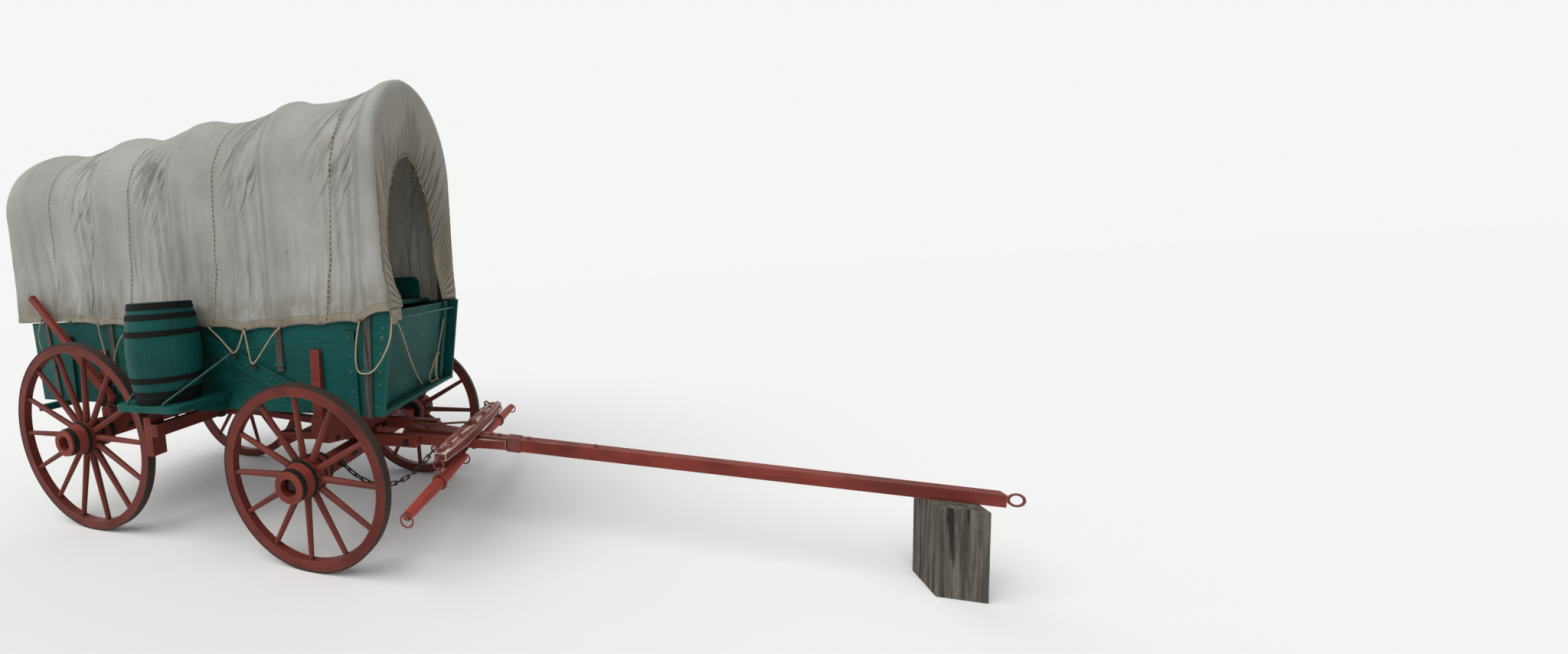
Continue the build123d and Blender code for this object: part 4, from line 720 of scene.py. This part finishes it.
def mouth_point(x, t, mouth):
    """Point on the gathered opening's edge, t as for arch_point."""
    foot, shoulder, shoulder_z, top = mouth
    side = -1.0 if t < 0 else 1.0
    share = abs(t)
    if share <= MOUTH_ARCH:
        bend = share / MOUTH_ARCH
        angle = bend * math.pi / 2
        y = shoulder * math.sin(angle) ** 1.18
        z = shoulder_z + (top - shoulder_z) * math.cos(angle) ** 0.92
    else:
        leg = (share - MOUTH_ARCH) / (1 - MOUTH_ARCH)
        y, z = mix(shoulder, foot, leg), mix(shoulder_z, MOUTH_FOOT, leg)
    return Vector((x, side * y, z))


def flare(z, side):
    """Share by which the front of the cloth comes forward; on the right it drops over the endgate."""
    return ease((1.76 - z) / 0.25) * (1.0 if side < 0 else 0.15)


def front_pleats(t, way):
    """Gathers of an opening at t: their count so far, the share of plain leg, and how far they reach."""
    count = 29.0 * min(abs(t), 0.51) + 26.0 * max(0.0, abs(t) - 0.51)
    count = math.copysign(count, t) + 1.1 * noise.noise(Vector((t * 4.0, way * 3.0, 0.0)))
    share = ease((abs(t) - 0.42) / 0.18)
    reach = 0.55 + 0.9 * abs(noise.noise(Vector((t * 13.0, way, 2.0)))) + 0.25 * ease((0.2 - abs(t)) / 0.2)
    return count, share, clamp(reach, 0.5, 1.0)


def cover_sheet(material):
    """One cloth over the bows, its ends gathered in to an opening."""
    arc_rows, leg_rows, skirt_rows, end_columns = 96, 40, 6, 15
    columns = 204
    ts = []                               # rows above the box: -1 at the right foot to 1 at the left
    bend = math.pi * HALF / 2
    leg = RIDGE - HALF - MOUTH_FOOT
    knee = bend / (bend + leg)
    for k in range(-leg_rows, 0):
        ts.append(-knee + (1 - knee) * k / leg_rows)
    for k in range(-arc_rows // 2, arc_rows // 2 + 1):
        ts.append(knee * 2 * k / arc_rows)
    for k in range(1, leg_rows + 1):
        ts.append(knee + (1 - knee) * k / leg_rows)
    rows = len(ts)
    verts, uv, edge, gathers, faced, grid = [], [], [], [], [], {}

    def add(column, row, point, along_x, girth, hem, mouth, pleat=(0.0, 0.0), front=(0.0, 0.0)):
        grid[column, row] = len(verts)
        verts.append(place(*point))
        uv.append((along_x, girth))
        edge.append((hem, mouth))
        gathers.append(pleat)
        faced.append(front)

    def tube_point(x, t):
        lean, drop, narrow, sag = section(x)
        point, normal, g, side = arch_point(x, t, RIDGE - drop, HALF - narrow, MOUTH_FOOT, lean)
        out = folds(x, g, point.z, side, sag) + 0.64 * narrow * ease((1.80 - point.z) / 0.25)
        if point.z < 1.53:
            out = max(out, 0.64 * narrow)
        point.x += 0.0385 * flare(point.z, side) * ease((x - 0.32) / 0.17)
        return point + normal * out, g, side, sag

    for c in range(columns + 1):
        x = mix(COVER_REAR, COVER_FRONT, c / columns)
        for r, t in enumerate(ts):
            point, g, side, sag = tube_point(x, t)
            low = hem_height(point.x, side)
            add(c, r, point, x, side * g, point.z - low if abs(t) > knee else 1.0, 1.0)
        for t in (-1.0, 1.0):
            foot, g, side, sag = tube_point(x, t)
            low = hem_height(foot.x, side)
            for k in range(1, skirt_rows + 1):
                z = mix(MOUTH_FOOT, low, k / skirt_rows)
                lean = section(x)[0]
                puff = max(0.0, folds(x, g + MOUTH_FOOT - z, z, side, sag))
                band = 0.0016 if z - low < 0.05 else 0.0
                y = HALF - 0.002 + puff + band
                share = ease(k / skirt_rows * 2)
                y = mix(abs(foot.y), y, share)
                row = -k if side < 0 else rows - 1 + k
                add(c, row, (foot.x + lean * (z - MOUTH_FOOT), side * y, z), x, side * (g + MOUTH_FOOT - z),
                    z - low, 1.0)
    for x_end, x_mouth, mouth, way in (
            (COVER_FRONT, COVER_FRONT - MOUTH_IN, FRONT_MOUTH, 1),
            (COVER_REAR, COVER_REAR + MOUTH_IN, REAR_MOUTH, -1)):
        for r, t in enumerate(ts):
            start, g, side, sag = tube_point(x_end, t)
            stop = mouth_point(x_mouth, t, mouth)
            if way > 0:
                stop.x += 0.1085 * flare(stop.z, side)
            span = (stop - start).length
            pleat, on_leg, reach = front_pleats(t, way)
            for k in range(1, end_columns + 1):
                f = k / end_columns
                lift = start.lerp(stop, f)
                belly = 0.018 * math.sin(math.pi * f) * way * (1 - flare(lift.z, side) * (way > 0))
                grown = ease((f - (1 - reach)) / 0.70)
                depth = mix(0.019 * grown * (1.0 - 0.70 * ease((f - 0.72) / 0.28)),
                            0.0050 * math.sin(math.pi * f) ** 0.6, on_leg)
                ripple = ridge_line(2 * math.pi * pleat, 1.3) * depth
                ripple += 0.009 * noise.noise(Vector((t * 5, f * 2.2, way * 9.0))) * math.sin(math.pi * f)
                point = lift + Vector((belly + way * ripple, 0, 0))
                column = columns + k if way > 0 else -k
                add(column, r, point, x_end + way * f * span, side * g, 1.0, (1 - f) * span,
                    (pleat, max(0.01, mix(grown, 0.75 * math.sin(math.pi * f) ** 0.5, on_leg))), (f, on_leg))
    for k in range(1, end_columns + 1):
        top = Vector(verts[grid[columns + k, 0]]) - Vector((SHIFT, 0, 0))
        f = k / end_columns
        fall = 0.098 * ease(f / 0.10) * (1.0 - 0.30 * f) * (1.0 - 0.08 * math.sin(11 * f))
        for j in range(1, skirt_rows + 1):
            g = j / skirt_rows
            x = max(top.x, 0.5285) + 0.0022 * noise.noise(Vector((f * 4, g * 3, 4.0))) - 0.004 * g
            z = MOUTH_FOOT - fall * g
            add(columns + k, -j, (x, top.y + 0.008 * f * g, z), COVER_FRONT + f * 0.18, -1.8 - g * fall,
                z - MOUTH_FOOT + fall + 0.004, (1 - f) * 0.16, (0.0, 0.05), (f, 1.0))
    faces = []
    for (c, r), here in grid.items():
        corners = [(c, r), (c + 1, r), (c + 1, r + 1), (c, r + 1)]
        if all(corner in grid for corner in corners):
            faces.append([grid[corner] for corner in corners])
    obj = mesh_piece("cover_canvas", verts, faces, material, "wagon")
    for name, values in (("cut", uv), ("edge", edge), ("gathers", gathers), ("face", faced)):
        layer = obj.data.uv_layers.new(name=name)
        for loop in obj.data.loops:
            layer.data[loop.index].uv = values[loop.vertex_index]
    area = sum(polygon.area for polygon in obj.data.polygons)
    thick = obj.modifiers.new("thickness", "SOLIDIFY")
    thick.thickness = CLOTH_THICK
    thick.offset = 0.0
    mouths = {}
    for name, column in (("front", columns + end_columns), ("rear", -end_columns)):
        mouths[name] = [verts[grid[column, r]] for r in range(rows)]
    return obj, area, mouths


# Scene

def camera():
    """Stands where the photograph was taken."""
    yaw, pitch, roll = 1.94078, -0.081429, -0.060097
    forward = Vector((math.cos(pitch) * math.cos(yaw), math.cos(pitch) * math.sin(yaw), math.sin(pitch)))
    right = Vector((math.sin(yaw), -math.cos(yaw), 0))
    up = right.cross(forward)
    right2 = right * math.cos(roll) + up * math.sin(roll)
    up2 = up * math.cos(roll) - right * math.sin(roll)
    data = bpy.data.cameras.new("camera")
    data.sensor_width = 36
    data.lens = 11.135
    data.shift_x, data.shift_y = 0.2091, -0.0051
    data.clip_start, data.clip_end = 0.05, 500
    obj = bpy.data.objects.new("camera", data)
    turn = Matrix((right2, up2, -forward)).transposed().to_4x4()
    obj.matrix_world = Matrix.Translation((1.5436, -2.9483, 1.6444)) @ turn
    bpy.context.scene.collection.objects.link(obj)
    bpy.context.scene.camera = obj


def studio():
    """Pale floor and soft light."""
    scene = bpy.context.scene
    scene.view_settings.view_transform = "Standard"
    world = bpy.data.worlds.new("studio")
    scene.world = world
    world.use_nodes = True
    nodes, links = world.node_tree.nodes, world.node_tree.links
    nodes.clear()
    rays = nodes.new("ShaderNodeLightPath")
    seen = rays.outputs["Is Camera Ray"]
    for kind in ("Is Glossy Ray", "Is Transmission Ray"):
        either = nodes.new("ShaderNodeMath")
        either.operation = "MAXIMUM"
        links.new(seen, either.inputs[0])
        links.new(rays.outputs[kind], either.inputs[1])
        seen = either.outputs[0]
    both = nodes.new("ShaderNodeMixShader")
    links.new(seen, both.inputs[0])
    for k, colour, strength in ((1, (0.93, 0.96, 1.0, 1), 0.36), (2, (0.92, 0.92, 0.91, 1), 1.0)):
        sky = nodes.new("ShaderNodeBackground")
        sky.inputs["Color"].default_value = colour
        sky.inputs["Strength"].default_value = strength
        links.new(sky.outputs[0], both.inputs[k])
    out = nodes.new("ShaderNodeOutputWorld")
    links.new(both.outputs[0], out.inputs[0])
    for name, towards, strength, wide in (
            ("key", (0.38, 0.60, -0.95), 2.35, 55), ("fill", (-0.75, 0.5, -0.45), 0.34, 90),
            ("back", (0.5, -0.9, -0.5), 0.45, 90)):
        data = bpy.data.lights.new(name, "SUN")
        data.energy = strength
        data.angle = math.radians(wide)
        obj = bpy.data.objects.new(name, data)
        obj.rotation_mode = "QUATERNION"
        obj.rotation_quaternion = Vector(towards).to_track_quat("-Z", "Y")
        obj.location.z = 6
        scene.collection.objects.link(obj)
    look = Look("floor_plain", Specular_IOR_Level=0.1)
    grey = look.noise(look.spot, 0.6, 2)
    colour = look.blend(grey, (0.852, 0.845, 0.828), (0.866, 0.859, 0.842))
    look.finish(colour, 0.95, look.bump(grey, 0.05, 0.01))
    mesh = bpy.data.meshes.new("floor")
    mesh.from_pydata([(-160, -160, 0), (160, -160, 0), (160, 160, 0), (-160, 160, 0)], [], [(0, 1, 2, 3)])
    floor = bpy.data.objects.new("floor", mesh)
    floor.location.z = -0.001
    mesh.materials.append(look.material)
    scene.collection.objects.link(floor)


def set_look(material, *names):
    """Gives CAD nodes a material."""
    for name in names:
        data = NODES[name].data
        if not data.materials:
            data.materials.append(material)
        for k in range(len(data.materials)):
            data.materials[k] = material


def hub_bands(centre, side):
    """Black bands by their place along the axle."""
    axle = (0.0, side * math.cos(CAMBER), -math.sin(CAMBER))

    def share(look):
        offset = look.vector("SUBTRACT", look.spot, tuple(centre))
        along_axle = look.vector("DOT_PRODUCT", offset, axle)
        inside = look.vector("MULTIPLY", axle, look.join(along_axle, along_axle, along_axle))
        radius = look.vector("LENGTH", look.vector("SUBTRACT", offset, inside))
        outer = look.math("GREATER_THAN", radius, 0.0560)
        total = 0.0
        for low, high in ((0.0800, 0.1140), (0.0095, 0.0285), (-0.0845, -0.0655), (-0.167, -0.1385)):
            here = look.times(look.math("GREATER_THAN", along_axle, low),
                             look.math("LESS_THAN", along_axle, high))
            total = look.math("ADD", look.times(here, outer), total, clamped=True)
        return total

    return share


def dress_nodes():
    """Materials for the parts kept from the frame."""
    boards_x = painted("green_boards", GREEN, (0.05, 1.0, 1.0), chips=0.35)
    boards_y = painted("green_gates", GREEN, (1.0, 0.05, 1.0), chips=0.28, bare_top=1.478)
    set_look(boards_x, "box_side_right", "box_side_left", "box_floor")
    set_look(boards_y, "front_endgate", "rear_endgate", "box_sills", "seat", "barrel_shelf")
    staves = painted("green_staves", GREEN, (1.0, 1.0, 0.05), chips=0.12, cracks=0.12)
    set_look(staves, "barrel")
    set_look(iron("green_iron", shade(22, 84, 78), shade(86, 60, 42), 0.45, 0.5, 0.1),
             "bow_staples", "box_rods")
    red_x = painted("red_long_timbers", RED, (0.05, 1.0, 1.0), chips=0.3,
                    peel=peeled(0.52, 1.10, 0.85))
    red_y = painted("red_cross_timbers", RED, (1.0, 0.05, 1.0), chips=0.25)
    red_z = painted("red_upright_timbers", RED, (1.0, 1.0, 0.06), chips=0.25)
    set_look(red_x, "reach", "front_hounds", "tongue_pole")
    set_look(red_y, "rear_axle", "sand_board", "front_axle", "brake_beam")
    bright = dict(RED, paint=shade(158, 62, 48), deep=shade(132, 52, 41), faded_and_highlight=shade(180, 96, 78))
    set_look(painted("red_singletrees", bright, (1.0, 0.05, 1.0), chips=0.15, cracks=0.2),
             "singletree_right", "singletree_left")
    set_look(red_y, "rear_bolster", "front_bolster")
    set_look(red_z, "brake_lever", "brake_shoes")
    set_look(painted("red_doubletree", RED, (1.0, 0.12, 1.0), chips=0.3, edge=0.014,
                     peel=peeled(0.2, 0.9, 0.95)), "doubletree")
    for end, diameter, x in (("front", 1.118, SHIFT), ("rear", 1.366, SHIFT - WHEELBASE)):
        for name, side in (("right", -1), ("left", 1)):
            centre = Vector((x, side * WHEEL_Y, diameter / 2 * math.cos(CAMBER)))
            rim = diameter / 2 - 0.012 - 0.055
            tag = f"{end}_{name}"
            set_look(painted(f"red_wheel_{tag}", SHADED_WHEEL_RED, chips=0.2, edge=0.006,
                             coordinates=lambda look, c=centre, r=rim: wheel_grain(look, c, r)),
                     f"wheel_{tag}")
            set_look(painted(f"red_hub_{tag}", RED, (1.0, 0.05, 1.0), chips=0.2,
                             bands=hub_bands(centre, side)), f"hub_{tag}")
    tyre = iron("tyre_worn", shade(50, 41, 38), shade(76, 50, 43), 0.6, 0.65, 0.1, 0.2)
    set_look(tyre, *[n for n in NODES if n.startswith("tyre_")])
    black = iron("black_iron", shade(36, 33, 32), shade(84, 52, 38), 0.4)
    set_look(black, "king_bolt", "rear_axle_arms", "front_gear_irons", "brake_rod", "lever_iron",
             "brake_brackets", "stay_chains")
    set_look(iron("hoop_iron", shade(20, 21, 22), shade(38, 34, 31), 0.25, 0.7, 0.0, 0.1), "barrel_hoops")
    red_iron = iron("red_iron", shade(112, 52, 43), shade(92, 60, 46), 0.6, 0.6, 0.1)
    set_look(red_iron, "doubletree_irons", "tongue_irons", "singletree_irons_right", "singletree_irons_left")
    set_look(bare_timber("weathered_bow_wood", shade(92, 88, 82), shade(52, 48, 44)), "bows")
    set_look(bare_timber("post_timber", shade(112, 106, 97), shade(60, 55, 49), depth=0.005, cracks=0.60),
             "tongue_post")


def dress_cover():
    """The cloth and the rolled edge of its openings."""
    sheet, area, mouths = cover_sheet(canvas())
    verts, faces = [], []
    for name, points in mouths.items():
        way = 1 if name == "front" else -1
        line = [p + Vector((0.004 * way, 0, 0)) for p in points]
        tube(verts, faces, line, lambda share: 0.0050 + 0.0020 * math.sin(share * 2 * math.pi * 44), 7)
    roll = mesh_piece("cover_mouth_rolls", verts, faces, cloth_edge(), "wagon")
    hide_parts("cover")


def side_routes(side):
    """Ropes of one side, by x, distance out and z. The loop at the front corner ends by side."""
    corners = {-1: [(0.500, 0.570, 1.280), (0.528, 0.566, 1.350), (0.530, 0.560, 1.400),
                    (0.536, 0.556, 1.452)],
               1: [(0.468, 0.578, 1.290), (0.474, 0.578, 1.390), (0.470, ON_CLOTH, 1.492)]}
    return [
        [(-0.82, ON_CLOTH, 1.430), (-0.74, 0.580, 1.375), (-0.655, 0.582, 1.292), (-0.620, 0.586, 1.262)],
        [(-0.620, 0.586, 1.258), (-0.596, 0.586, 1.262), (-0.575, 0.582, 1.290), (-0.545, 0.579, 1.345),
         (-0.525, ON_CLOTH, 1.402)],
        [(-0.515, ON_CLOTH + 0.002, 1.400), (-0.500, 0.582, 1.330), (-0.482, 0.586, 1.240),
         (-0.470, 0.590, 1.196), (-0.452, 0.590, 1.190), (-0.425, 0.586, 1.216), (-0.340, 0.582, 1.315),
         (-0.285, 0.580, 1.378), (-0.236, ON_CLOTH, 1.414)],
        [(0.334, ON_CLOTH, 1.436), (0.322, 0.580, 1.390), (0.300, 0.578, 1.290), (0.292, 0.578, 1.190),
         (0.305, 0.578, 1.140), (0.350, 0.574, 1.134), (0.400, 0.578, 1.146), (0.450, 0.574, 1.200),
         *corners[side]],
        [(-1.900, ON_CLOTH, 1.470), (-1.880, 0.580, 1.380), (-1.850, 0.580, 1.280), (-1.835, 0.580, 1.196),
         (-1.800, 0.576, 1.176), (-1.765, 0.580, 1.190), (-1.700, 0.582, 1.330), (-1.620, 0.580, 1.405),
         (-1.562, ON_CLOTH, 1.448)],
        [(-2.56, ON_CLOTH, 1.512), (-2.600, 0.580, 1.440), (-2.605, 0.580, 1.340), (-2.570, 0.578, 1.255),
         (-2.530, 0.578, 1.215)],
    ]


GATE_ROUTES = [           # ropes on the front gate
    [(0.500, -0.425, 1.412), (0.478, -0.330, 1.330), (0.430, -0.150, 1.130), (0.398, 0.020, 0.975),
     (0.386, 0.088, 0.930)],
    [(0.448, 0.455, 1.486), (0.452, 0.420, 1.400), (0.428, 0.352, 1.200), (0.416, 0.326, 1.105),
     (0.404, 0.318, 1.020), (0.392, 0.340, 0.930), (0.386, 0.348, 0.905)],
    [(0.386, 0.346, 0.905), (0.396, 0.300, 0.960), (0.404, 0.300, 1.030), (0.416, 0.322, 1.100)],
    [(0.418, 0.318, 1.108), (0.420, 0.285, 1.090), (0.404, 0.215, 1.000), (0.396, 0.190, 0.945),
     (0.392, 0.215, 0.915), (0.390, 0.262, 0.908), (0.388, 0.330, 0.912)],
]


def dress_ropes():
    """Ropes that hold the cloth down, in three-strand rope, with their hooks and rings."""
    verts, faces = [], []
    hooks, hook_faces = [], []
    for side in (-1, 1):
        for route in side_routes(side):
            rope(verts, faces, [place(x, side * y, z) for x, y, z in route])
        if side < 0:
            for route in GATE_ROUTES:
                rope(verts, faces, [place(*spot) for spot in route])
        for x, z in GROMMETS[1:-1]:
            low = hem_height(x, side)
            torus(hooks, hook_faces, place(x, side * (HALF + 0.004), low + 0.012), (0, 1, 0), 0.009, 0.0024,
                  steps=16)
        for x, z in ((-0.608, 1.262), (-0.461, 1.190)):
            torus(hooks, hook_faces, place(x, side * 0.584, z - 0.012), (0, 1, 0), 0.020, 0.0045, steps=20)
            pin = [place(x, side * y, z - 0.030) for y in (0.5635, 0.590)]
            tube(hooks, hook_faces, pin, 0.006, 8)
    torus(hooks, hook_faces, place(0.3835, 0.080, 0.932), (1, 0, 0.15), 0.034, 0.004, steps=30)
    tube(hooks, hook_faces, [place(x, 0.080, 0.966) for x in (0.366, 0.390)], 0.007, 8)
    torus(hooks, hook_faces, place(0.3835, 0.348, 0.905), (1, 0, 0.15), 0.020, 0.004, steps=24)
    for spot in (place(0.419, 0.324, 1.108), place(0.390, 0.345, 0.908)):
        for axis in ((0, 1, 0.4), (0.6, 0.2, 1)):
            turn = Vector((0, 0, 1)).rotation_difference(Vector(axis)).to_matrix()
            knot = []
            for k in range(11):
                a = 1.8 * math.pi * k / 10
                loop = Vector((0.0095 * math.cos(a), 0.0095 * math.sin(a), 0.002 * k / 10))
                knot.append(spot + turn @ loop)
            rope(verts, faces, knot, 0.0045)
    mesh_piece("tie_ropes", verts, faces, rope_look(), "wagon")
    mesh_piece("rope_hooks", hooks, hook_faces, iron("hook_iron", shade(40, 50, 46), shade(96, 62, 44), 0.6),
               "wagon")


def end_x(z, way):
    """Place along X, at height z, of the box's leaning front end, way 1, or rear end, way -1."""
    foot, lean = BOX_ENDS[way]
    return foot + lean * (z - BOX_FOOT) / BOX_HIGH


def tongue_top(x):
    """Upper face of the tongue, which falls and tapers towards its tip."""
    slope = (0.464 - 0.607) / (3.400 - 0.385)
    return 0.607 + slope * (x - 0.385) + (0.088 - 0.028 * (x - 0.3) / 3.1) / 2


def nuts(name, body, donor, rows):
    """One piece of nuts in a node's own iron: spot, direction, width across, height and turn of each."""
    verts, faces = [], []
    for spot, normal, across, height, turned in rows:
        nut(verts, faces, place(*spot), normal, across, height, turned)
    mesh_piece(name, verts, faces, NODES[donor].data.materials[0], body)


def dress_box_bolts():
    """Bolt heads and nails of the box."""
    verts, faces = [], []
    cleat = BOX_SIDE + 0.020
    for side in (-1, 1):
        out = (0, side, 0)
        for x in (0.250, -2.290):
            for z in (0.915, 1.020, 1.140, 1.235, 1.340):
                dome(verts, faces, place(x, side * cleat, z), out, 0.011, 0.006)
        for z in (0.930, 1.060, 1.140, 1.240, 1.330, 1.390):
            wide = 0.013 if z != 1.330 else 0.019
            dome(verts, faces, place(end_x(z, 1) - 0.042, side * BOX_SIDE, z), out, wide, 0.006)
            dome(verts, faces, place(end_x(z, -1) + 0.045, side * BOX_SIDE, z), out, 0.012, 0.006)
        for foot in (-0.100, -1.830):
            for share in (0.12, 0.36, 0.62, 0.88):
                x = mix(foot, BARREL_X, share * 0.8)
                z = 1.427 - 0.46 * abs(x - BARREL_X) - 0.052
                dome(verts, faces, place(x, side * cleat, z), out, 0.010, 0.005)
        for k in range(9):
            x = -2.5 + k * 0.335
            if abs(x - BARREL_X) < 0.9 and k % 2:
                continue
            for z in (0.905, 1.062, 1.102, 1.268, 1.308, 1.470):
                spot = x + 0.02 * noise.noise(Vector((k, z * 7, side)))
                dome(verts, faces, place(spot, side * BOX_SIDE, z), out, 0.0055, 0.002, 8)
    for way in (1, -1):
        for y in (-0.4307, 0.4307):
            for z in (0.945, 1.115, 1.285, 1.430):
                x = end_x(z, way) - way * 0.053
                dome(verts, faces, place(x, y, z), (way, 0, 0), 0.009, 0.005)
    material = iron("painted_bolts", shade(20, 76, 70), shade(70, 58, 44), 0.4, 0.5, 0.1)
    mesh_piece("box_bolts", verts, faces, material, "wagon")


def dress_nuts():
    """Nuts of the gears, the tongue and the doubletree, by the body that carries them."""
    ends = (-1, 1)
    nuts("rear_gear_nuts", "wagon", "king_bolt", [
        ((-WHEELBASE + sign * out, y, z), (sign, 0, 0), 0.030, 0.011, 0.0)
        for out, z, places in ((0.048, 0.7935, (-0.52, 0.52, -0.16, 0.16)), (0.050, 0.688, (-0.45, 0.45)))
        for y in places for sign in ends])
    nuts("front_gear_nuts", "front_gear", "king_bolt", [
        ((sign * 0.050, y, z), (sign, 0, 0), across, height, 0.0)
        for y in (-0.47, -0.30, 0.30, 0.47) for sign in ends
        for z, across, height in ((0.553, 0.030, 0.011), (0.705, 0.028, 0.010))])
    sunk = 0.0005
    nuts("tongue_nuts", "tongue", "tongue_irons", [
        ((x, 0.0, tongue_top(x) - sunk), (0, 0, 1), 0.026, 0.010, 0.3) for x in (0.905, 0.960, 1.150, 1.560)])
    nuts("doubletree_nuts", "doubletree", "tongue_irons", [
        ((0.777, y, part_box("doubletree")[1][2] - sunk), (0, 0, 1), 0.026, 0.009, 0.2)
        for y in (-0.40, -0.24, 0.24, 0.40)])


camera()
studio()
dress_nodes()
dress_cover()
dress_ropes()
dress_box_bolts()
dress_nuts()
